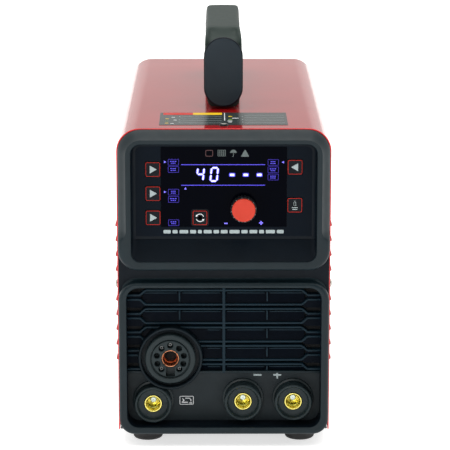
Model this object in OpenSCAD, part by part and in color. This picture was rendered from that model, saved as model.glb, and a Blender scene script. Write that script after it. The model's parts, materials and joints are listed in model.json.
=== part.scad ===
// Compact plasma cutter with a built-in air compressor: a sheet-steel case between a moulded front
// bezel and a moulded rear panel, with a carrying handle on top.
// Millimetres, +Z up, front towards -Y, +X to the right seen from the front.
// The origin is under the middle of the machine, on the surface that its feet stand on.

/* [Case] */
// Width of the steel cover
case_w = 220; // [214:1:236]
// Height of the cover's top above the floor
case_top = 334.5; // [330:0.5:350]
// Length of the steel cover, front to back
cover_len = 470; // [460:5:520]
// Outer radius of the cover's two top corners
corner_r = 24; // [18:1:28]
// Thickness of the cover, tray and shelf
sheet_t = 1.2; // [0.8:0.1:1.5]
// Height of the rubber feet
foot_h = 12; // [10:0.5:14]
// Radius of a rubber foot
foot_r = 15.5; // [12:0.5:16]

/* [Bezel] */
// How far the bezel stands in front of the cover
bezel_depth = 16; // [15:0.5:18]
// Width of the bevel round the bezel's front
bevel = 8.4; // [6:0.2:9]
// Wall thickness of the moulded panels
wall = 3; // [2.5:0.1:3.4]
// Vertical distance between two grille slots
slot_pitch = 19.9; // [19.5:0.1:20.2]

/* [Handle] */
// Height of the handle above the cover
handle_h = 83; // [78:1:92]
// Length of the handle, front face to rear face
handle_len = 272; // [260:2:300]
// Width of the grip
grip_w = 36; // [30:1:38]

/* [Controls] */
// Side of a square push-button
button_w = 15; // [13:0.5:15.4]
// Travel of a push-button
button_travel = 0.6; // [0.3:0.1:0.6]
// Diameter of the adjustment knob's cap
knob_d = 24; // [20:0.5:24.4]

/* [Sockets] */
// Radius of a work-cable socket's plug bore
plug_bore_r = 6.6; // [6.5:0.05:6.8]
// Radius of the torch socket's central bore
torch_bore_r = 7.5; // [7:0.1:7.6]

/* [Fan] */
// Side of the square fan frame
fan_w = 120; // [116:1:120]
// Number of fan blades
fan_blades = 7; // [5:1:9]

/* [Hidden] */
$fn = 48;
fit_gap = 0.4;               // gap round a moving button
gland_out = 23;              // how far the cable gland stands behind the rear panel
rear_depth = 11;             // how far the rear panel stands behind the cover
total_len = bezel_depth + cover_len + rear_depth + gland_out;
front_y = bezel_depth - total_len / 2;   // where the cover's front edge lies in this frame

panel_w = case_w - 2;        // moulded panels, outside the cover's edge
skirt_w = case_w - 2 * sheet_t - 1;      // moulded panels, inside the cover
panel_z0 = foot_h + 0.8;
panel_z1 = case_top - 1;
bottom_r = 12;               // radius of the panels' lower corners
tray_y0 = 8.3;
tray_y1 = cover_len - 8.3;
tray_top = foot_h + sheet_t;
rear_face = cover_len + rear_depth;      // rear face of the rear panel

// Openings in the bezel: [x half-width, lowest z, highest z]
upper_recess = [95, 198, 319.5];
lower_recess = [100.5, 20.7, 170.5];
control_y = 0;               // face of the control panel, level with the cover's edge
grille_y = 2;
grille_z0 = 74.5;
connector_y = 10;            // face of the plate that carries the work-cable sockets
slope_z = 219;               // top of the sloped ledge under the control panel
slot_top = 163.7;
slot_h = 15;
slot_half = 87.3;
slot_count = 5;
rib_x = [-45.6, 0, 45.6];    // upright ribs behind the grille

// Control panel
button_left_x = -72.6;
button_left_z = [292.2, 267, 241.7];
button_right_x = 72.8;
button_right_z = [294.5, 254.8];
select_pos = [-24.5, 241.6];
knob_pos = [20.2, 252.3];
window_half = 64.4;
window_z = [232, 315.5];
board_y = 13;                // front face of the control board
cap_seat = 12.6;             // how far the knob cap's seat stands in front of the cover's edge

// Sockets: [x, z]
torch_pos = [-55.6, 93];
socket_left_pos = [-73.9, 42.8];
socket_middle_pos = [20, 45.1];
socket_right_pos = [72.4, 45.1];
boss_r = 33.5;
torch_hole_ring = 14.4;      // radius of the ring on which the torch socket's holes lie
torch_holes = [90, 129, 166, 201, 230, 51, 14, -21, -50];    // their angles
torch_pins = [90, 129, 230, -50];
socket_r = 19.2;
flange_r = socket_r + 2.6;
stud_y = 44;                 // rear end of the sockets' studs

// Louvres in the cover's sides: rows of hoods, one row left out for the side screws
louvre_y = [40, 120, 340];
louvre_len = 58;
louvre_z = [for (i = [0 : 9]) if (i != 4) 225.8 - 16.07 * i];

// Feet, screws and handle
foot_x = 80;
foot_y = [20, cover_len - 20];
side_screw_y = [20, cover_len - 20];
side_screw_z = 167;
top_screw_y = 16.7;
handle_y0 = 112;
handle_y1 = handle_y0 + handle_len;
handle_z = case_top + 0.3;
handle_top = case_top + handle_h;
cap_h = 75;
cap_t = 4;
cap_w = 41.6;
post_len = 40;
handle_screw_y = [handle_y0 + 30, handle_y1 - 30];

// Inside
shelf_z = 150;
shelf_y = [62, cover_len - 45];
shelf_half = case_w / 2 - 6;
board_z = shelf_z + 10;
spacer_x = [-80, 80];
spacer_y = [76, 200, 324];
fan_z = 172;
fan_t = 38;
fan_y1 = cover_len + 7;      // rear face of the fan, against the rear panel
fan_y0 = fan_y1 - fan_t;
fan_r = 56;
fan_screw_ring = 74.2;
panel_screw_x = 92;
panel_screw_z = [30, 310];
switch_pos = [-58, 285];
gland_pos = [-60, 60];
inlet_pos = [60, 60];
pump_x = -55.6;
pump_y = [322, 372];
pump_z = 62;
valve_y = [88, 128];
hose_r = 5;
hose_bend = 16;
hose_high_z = 128;

// ---- Helpers. Y is counted from the cover's front edge, and is positive towards the rear. ----

// A box from three [low, high] pairs
module box(x, y, z) {
  translate([x[0], y[0] + front_y, z[0]])
    cube([x[1] - x[0], y[1] - y[0], z[1] - z[0]]);
}

// An XZ outline made solid from y0 to y1
module slab(y0, y1) {
  translate([0, y1 + front_y, 0]) rotate([90, 0, 0]) linear_extrude(y1 - y0) children();
}

// A round bar along Y
module rod(pos, y0, y1, r, fn = $fn) {
  translate([pos[0], y1 + front_y, pos[1]]) rotate([90, 0, 0]) cylinder(h = y1 - y0, r = r, $fn = fn);
}

// A round bar along Z
module post(x, y, z0, z1, r, fn = $fn) {
  translate([x, y + front_y, z0]) cylinder(h = z1 - z0, r = r, $fn = fn);
}

// A round bar along X
module cross(y, z, x0, x1, r) {
  translate([x0, y + front_y, z]) rotate([0, 90, 0]) cylinder(h = x1 - x0, r = r);
}

// A rectangle with round corners, centred in X, from z0 to z1; its top and bottom radii differ
module rounded(w, z0, z1, rt, rb) {
  translate([-w / 2, z0 + rb]) square([w, z1 - z0 - rt - rb]);
  translate([-w / 2 + rb, z0]) square([w - 2 * rb, rb + 1]);
  translate([-w / 2 + rt, z1 - rt - 1]) square([w - 2 * rt, rt + 1]);
  for (side = [-1, 1]) {
    translate([side * (w / 2 - rb), z0 + rb]) circle(rb);
    translate([side * (w / 2 - rt), z1 - rt]) circle(rt);
  }
}

// The panels' outline, drawn in by inset
module panel_outline(w, inset) {
  rounded(w - 2 * inset, panel_z0 + inset, panel_z1 - inset, corner_r - inset, bottom_r - inset);
}

// The outline of a panel's skirt, which fits inside the cover
module skirt_outline() {
  rounded(skirt_w, panel_z0, case_top - sheet_t - 0.5, corner_r - sheet_t - 0.3, bottom_r);
}

// The bevelled part of a panel: full at y0, drawn in by inset at y1, which may be either side of y0
module bevelled(w, y0, y1, inset) {
  depth = abs(y1 - y0);
  turn = y1 < y0 ? 90 : -90;
  slab(min(y0, y1), max(y0, y1)) panel_outline(w, inset);
  // Corner cones
  for (side = [-1, 1]) {
    for (c = [[corner_r, panel_z1 - corner_r], [bottom_r, panel_z0 + bottom_r]]) {
      translate([side * (w / 2 - c[0]), y0 + front_y, c[1]])
        rotate([turn, 0, 0])
          cylinder(h = depth, r1 = c[0], r2 = c[0] - inset);
    }
    // Side wedges
    translate([0, front_y, panel_z0 + bottom_r])
      linear_extrude(panel_z1 - corner_r - panel_z0 - bottom_r)
        polygon([[0, y0], [side * w / 2, y0], [side * (w / 2 - inset), y1], [0, y1]]);
  }
  // Top and bottom wedges
  wedge(w - 2 * corner_r, [[y0, panel_z1], [y1, panel_z1 - inset], [y1, panel_z1 - corner_r],
    [y0, panel_z1 - corner_r]]);
  wedge(w - 2 * bottom_r, [[y0, panel_z0], [y1, panel_z0 + inset], [y1, panel_z0 + bottom_r],
    [y0, panel_z0 + bottom_r]]);
}

// A YZ outline made solid across X, centred
module wedge(w, points, x = 0) {
  translate([x - w / 2, front_y, 0]) rotate([90, 0, 90]) linear_extrude(w) polygon(points);
}

// A pan-head screw along +Y: head before pos_y, shank behind it
module screw_y(pos, y, head_r, shank_r, shank) {
  rod(pos, y - head_r * 0.7, y, head_r);
  rod(pos, y - 0.01, y + shank, shank_r);
}

// ---- Case ----

module base_tray() {
  half = case_w / 2 - sheet_t - 0.3;
  color("dimgray")
  difference() {
    union() {
      box([-half, half], [tray_y0, tray_y1], [foot_h, tray_top]);
      for (side = [0, 1])
        mirror([side, 0, 0]) box([half - sheet_t, half], [14, cover_len - 14], [foot_h, foot_h + 24]);
      for (y = [14, cover_len - 14 - sheet_t])
        box([sheet_t - half, half - sheet_t], [y, y + sheet_t], [foot_h, foot_h + 5]);
    }
    for (side = [-1, 1], y = foot_y)
      post(side * foot_x, y, foot_h - 1, tray_top + 1, 2.2);
  }
}

// One pressed louvre hood on the right-hand side, its open mouth facing down
module louvre_hood(y, z) {
  hood = 4;
  translate([case_w / 2, y + front_y, z])
    rotate([-90, 0, 0])
      linear_extrude(louvre_len)
        polygon([[-0.6, -5], [hood, 1.5], [hood, 3], [hood - 1, 3], [-0.6, -3.4]]);
}

module cover() {
  z0 = foot_h + 2;
  color("red")
  difference() {
    union() {
      difference() {
        slab(0, cover_len) cover_outline(0, z0);
        slab(-1, cover_len + 1) cover_outline(sheet_t, z0 - 5);
      }
      for (side = [0, 1])
        mirror([side, 0, 0])
          for (z = louvre_z, y = louvre_y) louvre_hood(y, z);
    }
    // The slots under the hoods
    for (side = [0, 1]) mirror([side, 0, 0])
      for (z = louvre_z, y = louvre_y)
        box([case_w / 2 - 3, case_w / 2 + 2], [y + 2, y + louvre_len - 2], [z - 3, z + 1.5]);
    for (y = side_screw_y) cross(y, side_screw_z, -case_w, case_w, 2.3);
    post(0, top_screw_y, case_top - 10, case_top + 10, 2.3);
    for (y = handle_screw_y) post(0, y, case_top - 10, case_top + 10, 2.6);
  }
}

module cover_outline(inset, z0) {
  r = corner_r - inset;
  half = case_w / 2 - inset;
  translate([-half, z0]) square([2 * half, case_top - inset - r - z0]);
  translate([r - half, case_top - corner_r - 1]) square([2 * half - 2 * r, r + 1]);
  for (side = [-1, 1]) translate([side * (half - r), case_top - corner_r]) circle(r);
}

// The connector compartment's opening
module lower_outline() {
  rounded(2 * lower_recess[0], lower_recess[1], lower_recess[2], 12.5, 12.5);
}

// The outline of one grille slot: an eight-sided opening whose ends narrow to a neck
module slot_outline(top) {
  low = max(top - slot_h, grille_z0 + 1);
  cut = 5;
  neck = 4;
  polygon([[-slot_half + cut, top], [slot_half - cut, top], [slot_half, top - cut],
    [slot_half, max(low, top - slot_h + cut)], [slot_half - cut, low], [-slot_half + cut, low],
    [-slot_half, max(low, top - slot_h + cut)], [-slot_half, top - cut]]);
  translate([-97, top - cut - neck]) square([194, neck]);
}

module front_panel() {
  color([0.17, 0.21, 0.24])
  difference() {
    union() {
      bevelled(panel_w, -bezel_depth + 12, -bezel_depth, bevel);
      slab(-bezel_depth + 12, -0.6) panel_outline(panel_w, 0);
      slab(-0.6, tray_y0 - 0.3) skirt_outline();
      // Bosses that the cover's front screws bite into
      for (side = [-1, 1])
        box([side * 102 - 6, side * 102 + 6], [6, 28], [side_screw_z - 8, side_screw_z + 8]);
      box([-8, 8], [6, 26], [case_top - 16, case_top - sheet_t - 0.5]);
      // Walls of the connector compartment
      slab(0, connector_y + wall) rounded(2 * lower_recess[0] + 2 * wall, lower_recess[1] - wall,
        lower_recess[2] + wall, 14, 14);
    }
    // Control recess, with a ledge that slopes out to the lip
    difference() {
      slab(-bezel_depth - 1, control_y)
        rounded(2 * upper_recess[0], upper_recess[1], upper_recess[2], 14, 10);
      wedge(200, [[control_y + 1, slope_z + 1.4], [-bezel_depth - 1, upper_recess[1] - 1.4],
        [-bezel_depth - 1, upper_recess[1] - 20], [control_y + 1, upper_recess[1] - 20]]);
    }
    // Groove between the two frames
    wedge(panel_w + 4, [[-bezel_depth - 1, 176.5], [-bezel_depth + 7, 180.5], [-bezel_depth + 7, 184.5],
      [-bezel_depth - 1, 188.5]]);
    // Connector compartment, shallower behind the grille
    slab(-bezel_depth - 1, grille_y) lower_outline();
    slab(0, connector_y) intersection() {
      lower_outline();
      translate([-150, 0]) square([300, grille_z0]);
    }
    // Hollow behind the walls
    slab(control_y + wall, 40) rounded(skirt_w - 2 * wall, slope_z + 2, panel_z1 - wall - 14, 10, 6);
    slab(grille_y + wall, 40) translate([-slot_half - 12, grille_z0 + 2])
      square([2 * slot_half + 24, lower_recess[2] - grille_z0 - 4]);
    // Grille
    for (i = [0 : slot_count - 1]) slab(-1, 12) slot_outline(slot_top - i * slot_pitch);
    rod(torch_pos, -1, 20, boss_r - 1);
    // Buttons, knob and display
    for (p = button_places()) box([p[0] - button_w / 2 - fit_gap, p[0] + button_w / 2 + fit_gap], [-5, 8],
      [p[1] - button_w / 2 - fit_gap, p[1] + button_w / 2 + fit_gap]);
    rod(knob_pos, -5, 8, 3.8);
    box([-46, 46], [-5, 8], [272, 302]);
    // Sockets and cover screws
    for (p = [socket_left_pos, socket_middle_pos, socket_right_pos]) rod(p, 0, 20, 12.3);
    for (side = [0, 1]) mirror([side, 0, 0]) cross(side_screw_y[0], side_screw_z, 97, 112, 1.7);
    post(0, top_screw_y, case_top - 20, case_top, 1.7);
  }
  // Upright grille ribs and sloping louvre blades
  color([0.17, 0.21, 0.24])
  difference() {
    union() {
      for (x = rib_x)
        box([x - 1.5, x + 1.5], [grille_y + 0.6, 12], [grille_z0, lower_recess[2] - 2]);
      for (i = [0 : slot_count - 1]) {
        top = slot_top - i * slot_pitch;
        wedge(2 * slot_half + 25.4, [[grille_y + wall, top - 3.8], [11, top + 3.5], [11, top + 5],
          [grille_y + wall, top - 2.2]]);
      }
    }
    rod(torch_pos, -1, 20, boss_r - 1);
  }
  // Collar round the torch socket, relieved where the left cable socket's flange comes close
  color([0.17, 0.21, 0.24])
  difference() {
    rod(torch_pos, -8, connector_y + wall, boss_r);
    rod(socket_left_pos, connector_y - 2.4, connector_y, flange_r + 0.3);
    rod(torch_pos, -9, 3, boss_r - 3);
    rod(torch_pos, 0, 20, 20.3);
  }
}

// The six push-buttons' centres, [x, z]
function button_places() = concat(
  [for (z = button_left_z) [button_left_x, z]],
  [select_pos],
  [for (z = button_right_z) [button_right_x, z]]);

module rear_panel() {
  y0 = cover_len;
  plate = rear_face - 4;
  color([0.17, 0.21, 0.24])
  difference() {
    union() {
      bevelled(panel_w, y0 + 5, rear_face, 5);
      slab(y0 + 0.6, y0 + 5) panel_outline(panel_w, 0);
      slab(tray_y1 + 0.3, y0 + 0.6) skirt_outline();
      for (side = [-1, 1]) box([side * 102 - 6, side * 102 + 6], [y0 - 28, y0 - 6],
        [side_screw_z - 8, side_screw_z + 8]);
    }
    slab(y0 - 40, plate) rounded(skirt_w - 2 * wall - 8, panel_z0 + 7, panel_z1 - 7, corner_r - 6, 8);
    rod([0, fan_z], plate - 1, rear_face + 1, fan_r + 1);
    for (a = [45 : 90 : 315])
      rod([fan_screw_ring * cos(a), fan_z + fan_screw_ring * sin(a)], plate - 1, rear_face + 1, 2.2);
    box([switch_pos[0] - 14.4, switch_pos[0] + 14.4], [plate - 1, rear_face + 1],
      [switch_pos[1] - 11.4, switch_pos[1] + 11.4]);
    rod(gland_pos, plate - 1, rear_face + 1, 10.2);
    rod(inlet_pos, plate - 1, rear_face + 1, 6.6);
    for (side = [0, 1]) mirror([side, 0, 0]) cross(side_screw_y[1], side_screw_z, 97, 112, 1.7);
    for (side = [-1, 1], z = panel_screw_z)
      rod([side * panel_screw_x, z], plate - 1, rear_face + 1, 2.2);
  }
}

module component_shelf() {
  color("lightgray") {
    box([-shelf_half, shelf_half], shelf_y, [shelf_z - sheet_t, shelf_z]);
    for (side = [0, 1])
      mirror([side, 0, 0])
        box([shelf_half - sheet_t, shelf_half], shelf_y, [tray_top, shelf_z - sheet_t]);
    for (x = spacer_x, y = spacer_y) post(x, y, shelf_z, board_z, 4);
  }
}

module foot(x, y) {
  translate([x, y + front_y, 0])
    rotate_extrude()
      polygon([[5, 0], [foot_r - 2, 0], [foot_r - 0.6, 0.6], [foot_r, 2], [foot_r - 1.5, foot_h],
        [2.2, foot_h], [2.2, 5], [5, 5]]);
}

module feet() {
  color([0.08, 0.08, 0.09])
    for (side = [-1, 1], y = foot_y) foot(side * foot_x, y);
}

module foot_screws() {
  color("silver")
    for (side = [-1, 1], y = foot_y) {
      post(side * foot_x, y, 2.2, 5, 4.4);
      post(side * foot_x, y, 5, tray_top + 6, 2);
    }
}

module cover_screws() {
  color("silver") {
    for (side = [0, 1], y = side_screw_y)
      mirror([side, 0, 0]) {
        cross(y, side_screw_z, case_w / 2, case_w / 2 + 3.2, 4.2);
        cross(y, side_screw_z, case_w / 2 - 9, case_w / 2, 1.65);
      }
    post(0, top_screw_y, case_top + 1.6, case_top + 3.6, 3.4);
    post(0, top_screw_y, case_top - 14, case_top + 1.6, 1.65);
  }
}

module cup_washer() {
  color([0.1, 0.1, 0.1])
    translate([0, top_screw_y + front_y, case_top])
      rotate_extrude()
        polygon([[2, 0], [4.7, 0], [4.7, 0.6], [3.9, 2.2], [3.7, 2.2], [3.5, 1.6], [2, 1.6]]);
}

module rear_screws() {
  color("silver") {
    for (a = [45 : 90 : 315]) {
      p = [fan_screw_ring * cos(a), fan_z + fan_screw_ring * sin(a)];
      rod(p, rear_face + 3, rear_face + 5.6, 3.8);
      rod(p, rear_face - 14, rear_face + 3, 1.9);
    }
    for (side = [-1, 1], z = panel_screw_z) {
      rod([side * panel_screw_x, z], rear_face, rear_face + 2.6, 3.8);
      rod([side * panel_screw_x, z], rear_face - 12, rear_face, 1.9);
    }
  }
}

// ---- Handle ----

module handle_side() {
  gap_r = 16;
  gap_top = handle_top - 27;
  nose = 38;
  difference() {
    polygon([[handle_y0 + cap_t, handle_z], [handle_y0 + cap_t, handle_top - 7.5],
      [handle_y0 + 18, handle_top - 5], [handle_y0 + nose, handle_top], [handle_y1 - nose, handle_top],
      [handle_y1 - 18, handle_top - 5], [handle_y1 - cap_t, handle_top - 7.5],
      [handle_y1 - cap_t, handle_z]]);
    // The hand gap
    translate([handle_y0 + post_len + gap_r, handle_z + 12])
      square([handle_len - 2 * post_len - 2 * gap_r, gap_top - handle_z - 12]);
    translate([handle_y0 + post_len, handle_z - 1])
      square([handle_len - 2 * post_len, gap_top - gap_r - handle_z + 1]);
    for (y = [handle_y0 + post_len + gap_r, handle_y1 - post_len - gap_r])
      translate([y, gap_top - gap_r]) circle(gap_r);
  }
}

module handle_body() {
  color([0.17, 0.19, 0.21])
  difference() {
    translate([-grip_w / 2, front_y, 0]) rotate([90, 0, 90]) linear_extrude(grip_w) handle_side();
    for (y = handle_screw_y) {
      post(0, y, case_top - 1, case_top + 40, 2.6);
      post(0, y, case_top + 12, case_top + 20, 5);
    }
  }
}

module cap_outline(w, h) {
  for (z = [w / 2, h - w / 2]) translate([0, z]) circle(w / 2);
  translate([-w / 2, w / 2]) square([w, h - w]);
}

module handle_cap(y) {
  translate([0, 0, handle_z + 2]) slab(y, y + cap_t) cap_outline(cap_w, cap_h);
}

module handle_front_cap() {
  color([0.15, 0.17, 0.19]) handle_cap(handle_y0);
}

module handle_rear_cap() {
  color([0.15, 0.17, 0.19]) handle_cap(handle_y1 - cap_t);
}

module handle_screws() {
  color("silver")
    for (y = handle_screw_y) {
      post(0, y, case_top - 12, case_top + 12, 2.4);
      post(0, y, case_top - 12, case_top - 8, 5, 6);
      post(0, y, case_top + 12, case_top + 16, 4.6);
    }
}

// ---- Labels ----

module top_label() {
  color("gray")
  difference() {
    box([-66.5, 66], [19, 91], [case_top, case_top + 0.3]);
    post(0, top_screw_y, case_top - 1, case_top + 1, 5.3);
  }
}

module rating_plate() {
  color("silver") box([8, 78], [rear_face, rear_face + 0.5], [262, 306]);
}

// ---- Controls ----

module control_overlay() {
  color([0.08, 0.11, 0.13])
  difference() {
    slab(-0.5, control_y) rounded(2 * upper_recess[0] - 4, slope_z + 3, upper_recess[2] - 2, 12, 3);
    box([-window_half - 0.2, window_half + 0.2], [-2, 1], [window_z[0] - 0.2, window_z[1] + 0.2]);
    for (p = button_places()) box([p[0] - button_w / 2 - fit_gap, p[0] + button_w / 2 + fit_gap], [-5, 8],
      [p[1] - button_w / 2 - fit_gap, p[1] + button_w / 2 + fit_gap]);
  }
}

module display_window() {
  gap = button_w / 2 + fit_gap;
  color([0.02, 0.02, 0.03])
  difference() {
    box([-window_half, window_half], [-0.9, control_y], window_z);
    box([select_pos[0] - gap, select_pos[0] + gap], [-2, 1], [select_pos[1] - gap, select_pos[1] + gap]);
    rod(knob_pos, -2, 1, 3.9);
  }
}

module display_module() {
  color("white") box([-44, 44], [control_y + wall + 0.4, board_y], [274, 300]);
}

module control_board() {
  color("darkgreen")
  difference() {
    box([-90, 90], [board_y, board_y + 1.6], [225, 306]);
    for (x = [-86, 86], z = [229, 302]) rod([x, z], board_y - 1, board_y + 3, 1.8);
  }
}

module tactile_switches() {
  color("black")
    for (p = button_places()) {
      box([p[0] - 3, p[0] + 3], [board_y - 3.6, board_y], [p[1] - 3, p[1] + 3]);
      rod(p, board_y - 4.8, board_y - 3.6, 1.7);
    }
}

// A push-button: a square cap, a flange behind the panel and a stem that reaches the switch
module push_button(p) {
  half = button_w / 2;
  r = 1.5;
  flange = half + 1.4;
  color([0.1, 0.12, 0.14]) {
    slab(-1.6, control_y + wall + 0.3) translate([p[0], p[1] - half]) rounded(button_w, 0, button_w, r, r);
    box([p[0] - flange, p[0] + flange], [control_y + wall + 0.3, control_y + wall + 1.4],
      [p[1] - flange, p[1] + flange]);
    rod(p, control_y + wall + 1.4, board_y - 4.8 - button_travel - 0.3, 2.5);
  }
}

module button_left_top() { push_button([button_left_x, button_left_z[0]]); }
module button_left_middle() { push_button([button_left_x, button_left_z[1]]); }
module button_left_lower() { push_button([button_left_x, button_left_z[2]]); }
module button_select() { push_button(select_pos); }
module button_right_top() { push_button([button_right_x, button_right_z[0]]); }
module button_right_lower() { push_button([button_right_x, button_right_z[1]]); }

module encoder_body() {
  color("silver")
  difference() {
    union() {
      box([knob_pos[0] - 6, knob_pos[0] + 6], [board_y - 7, board_y], [knob_pos[1] - 6, knob_pos[1] + 6]);
      rod(knob_pos, -5, board_y - 7, 3.5);
    }
    rod(knob_pos, -6, board_y - 6, 3.05);
  }
}

module encoder_shaft() {
  color("lightgray") rod(knob_pos, -11, board_y - 6.4, 3);
}

// The knob's fluted body, which is pressed on the encoder's shaft
module knob_body() {
  flute_ring = knob_d / 2 + 2.4;
  color([0.08, 0.08, 0.08])
  difference() {
    union() {
      rod(knob_pos, -cap_seat - 1, -1.6, knob_d / 2 + 1.6);
      rod(knob_pos, -cap_seat, -4, 6);
    }
    // Seat for the cap, hollow underside round the hub, and the shaft's hole
    rod(knob_pos, -20, -cap_seat, knob_d / 2 + 0.1);
    difference() {
      rod(knob_pos, 1.6 - cap_seat, 0, knob_d / 2 - 0.6);
      rod(knob_pos, -cap_seat, -4, 6);
    }
    rod(knob_pos, -5.4, 0, 4.2);
    rod(knob_pos, -11.2, 0, 3.02);
    for (a = [0 : 15 : 345])
      rod([knob_pos[0] + flute_ring * cos(a), knob_pos[1] + flute_ring * sin(a)], -20, 0, 1.1, 16);
  }
}

module knob_cap() {
  color([0.85, 0.27, 0.17]) rod(knob_pos, -15.4, -cap_seat, knob_d / 2);
}

// ---- Sockets ----

// The place on the torch socket's ring of holes at that angle, [x, z]
function torch_ring(a) = [torch_pos[0] + torch_hole_ring * cos(a), torch_pos[1] + torch_hole_ring * sin(a)];

module torch_socket_body() {
  color([0.05, 0.05, 0.06])
  difference() {
    union() {
      rod(torch_pos, -10, 3, 26.2);
      rod(torch_pos, 3, 34, 20);
    }
    for (a = torch_holes) rod(torch_ring(a), -11, 8, 2.85);
    rod(torch_pos, -11, -6, 9.9);
    rod(torch_pos, -11, 40, 9.1);
    box([torch_pos[0] - 4, torch_pos[0] + 4], [-11, -4], [torch_pos[1] - 21, torch_pos[1] - 11]);
    difference() {
      rod(torch_pos, -11, -8.5, 19.6);
      rod(torch_pos, -12, -8, 11);
    }
  }
}

module torch_socket_contact() {
  color([0.75, 0.42, 0.25])
  difference() {
    union() {
      rod(torch_pos, -7, 42, 9);
      rod(torch_pos, 42, 60, 6);
    }
    rod(torch_pos, -8, 16, torch_bore_r);
    rod(torch_pos, 10, 70, 3);
    for (a = [45, 135])
      translate([torch_pos[0], front_y, torch_pos[1]]) rotate([0, a, 0]) translate([-10, -8, -0.5])
        cube([20, 14, 1]);
  }
}

module torch_socket_pins() {
  color("gold")
    for (a = torch_pins) rod(torch_ring(a), -5, 8, 1.3);
}

// An insulated bayonet socket's body: a collar, a flange on the panel and a threaded tail
module socket_body(p) {
  color([0.06, 0.07, 0.08])
  difference() {
    union() {
      rod(p, -8, connector_y - 2, socket_r);
      rod(p, connector_y - 2, connector_y, flange_r);
      rod(p, connector_y, connector_y + 18, 12);
    }
    rod(p, -9, -3, socket_r - 2.7);
    rod(p, -4, 40, 9.1);
  }
}

module socket_body_left() { socket_body(socket_left_pos); }
module socket_body_middle() { socket_body(socket_middle_pos); }
module socket_body_right() { socket_body(socket_right_pos); }

// The brass contact inside a socket, with a blind plug bore and a stud behind
module socket_contact(p) {
  color("goldenrod")
  difference() {
    union() {
      rod(p, -3, 26, 9);
      rod(p, 26, stud_y, 5);
    }
    rod(p, -4, 19, plug_bore_r);
  }
}

module socket_contact_left() { socket_contact(socket_left_pos); }
module socket_contact_middle() { socket_contact(socket_middle_pos); }
module socket_contact_right() { socket_contact(socket_right_pos); }

module socket_nuts() {
  color("dimgray") {
    for (p = [socket_left_pos, socket_middle_pos, socket_right_pos])
      difference() {
        rod(p, connector_y + wall, connector_y + wall + 6, 16, 6);
        rod(p, connector_y, connector_y + 30, 12.1);
      }
    difference() {
      rod(torch_pos, connector_y + wall, connector_y + wall + 8, 25.5, 6);
      rod(torch_pos, connector_y, connector_y + 30, 20.1);
    }
  }
}

// A copper strap from a socket's stud up to the power board
module strap(p, x) {
  w = 7;
  y = [stud_y - 10, stud_y - 8];
  difference() {
    union() {
      box([min(p[0], x) - w, max(p[0], x) + w], y, [p[1] - w, p[1] + w]);
      box([x - w, x + w], y, [p[1], board_z + 8]);
      box([x - w, x + w], [y[0], 84], [board_z + 8, board_z + 10]);
      box([x - w, x + w], [82, 84], [board_z + 1.6, board_z + 8]);
    }
    rod(p, 0, 60, 5.1);
  }
}

module output_leads() {
  color([0.72, 0.45, 0.3]) {
    strap(socket_left_pos, -92);
    strap(socket_middle_pos, 20);
    strap(socket_right_pos, 72.4);
  }
}

// ---- Rear fittings ----

module fan_frame() {
  half = fan_w / 2;
  color([0.1, 0.1, 0.11])
  difference() {
    union() {
      difference() {
        box([-half, half], [fan_y0, fan_y1], [fan_z - half, fan_z + half]);
        rod([0, fan_z], fan_y0 - 1, fan_y1 + 1, fan_r);
      }
      // Motor mount and its four struts, at the inner face
      rod([0, fan_z], fan_y0, fan_y0 + 3, 21);
      for (x = [-1, 1], z = [-1, 1])
        translate([0, front_y + fan_y0, fan_z]) rotate([0, 45 * x * z, 0])
          translate([x * 38 - 19, 0.4, -2]) cube([38, 2.2, 4]);
      rod([0, fan_z], fan_y0 + 1, fan_y0 + 26, 2.4);
    }
    for (a = [45 : 90 : 315])
      rod([fan_screw_ring * cos(a), fan_z + fan_screw_ring * sin(a)], fan_y0 - 1, fan_y1 + 1, 2.1);
  }
}

module fan_rotor() {
  y = [fan_y0 + 3.6, fan_y0 + 32];
  color([0.12, 0.12, 0.13])
  difference() {
    union() {
      rod([0, fan_z], y[0], y[1], 19.5);
      for (i = [0 : fan_blades - 1])
        translate([0, front_y + (y[0] + y[1]) / 2, fan_z])
          rotate([0, i * 360 / fan_blades, 0]) translate([17, 0, 0]) rotate([35, 0, 0])
            translate([0, -1, -15]) cube([36.5, 2, 30]);
    }
    rod([0, fan_z], y[0] - 1, y[0] + 24, 2.45);
  }
}

module fan_guard() {
  wire = 1.1;
  color("silver")
    translate([0, front_y + rear_face + 1.3, fan_z]) rotate([-90, 0, 0]) {
      for (r = [16, 28, 40, 52]) translate([0, 0, 1.8]) rotate_extrude() translate([r, 0]) circle(wire);
      for (a = [45 : 90 : 315])
        rotate([0, 0, a]) {
          translate([14, 0, 0]) rotate([0, 90, 0]) cylinder(h = 58, r = wire);
          translate([fan_screw_ring, 0, -1.3]) difference() {
            cylinder(h = 3, r = 4.6);
            translate([0, 0, -1]) cylinder(h = 6, r = 2.1);
          }
        }
    }
}

module mains_switch_body() {
  x = switch_pos[0];
  z = switch_pos[1];
  color([0.05, 0.05, 0.05])
  difference() {
    union() {
      box([x - 14, x + 14], [rear_face - 26, rear_face], [z - 11, z + 11]);
      box([x - 16, x + 16], [rear_face, rear_face + 2], [z - 13, z + 13]);
      for (side = [-8, 8])
        box([x + side - 3, x + side + 3], [rear_face - 36, rear_face - 26], [z - 0.6, z + 0.6]);
    }
    box([x - 11, x + 11], [rear_face - 14, rear_face + 3], [z - 9.8, z + 9.8]);
    cross(rear_face - 2, z, x - 12.8, x + 12.8, 1.56);
  }
}

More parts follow.
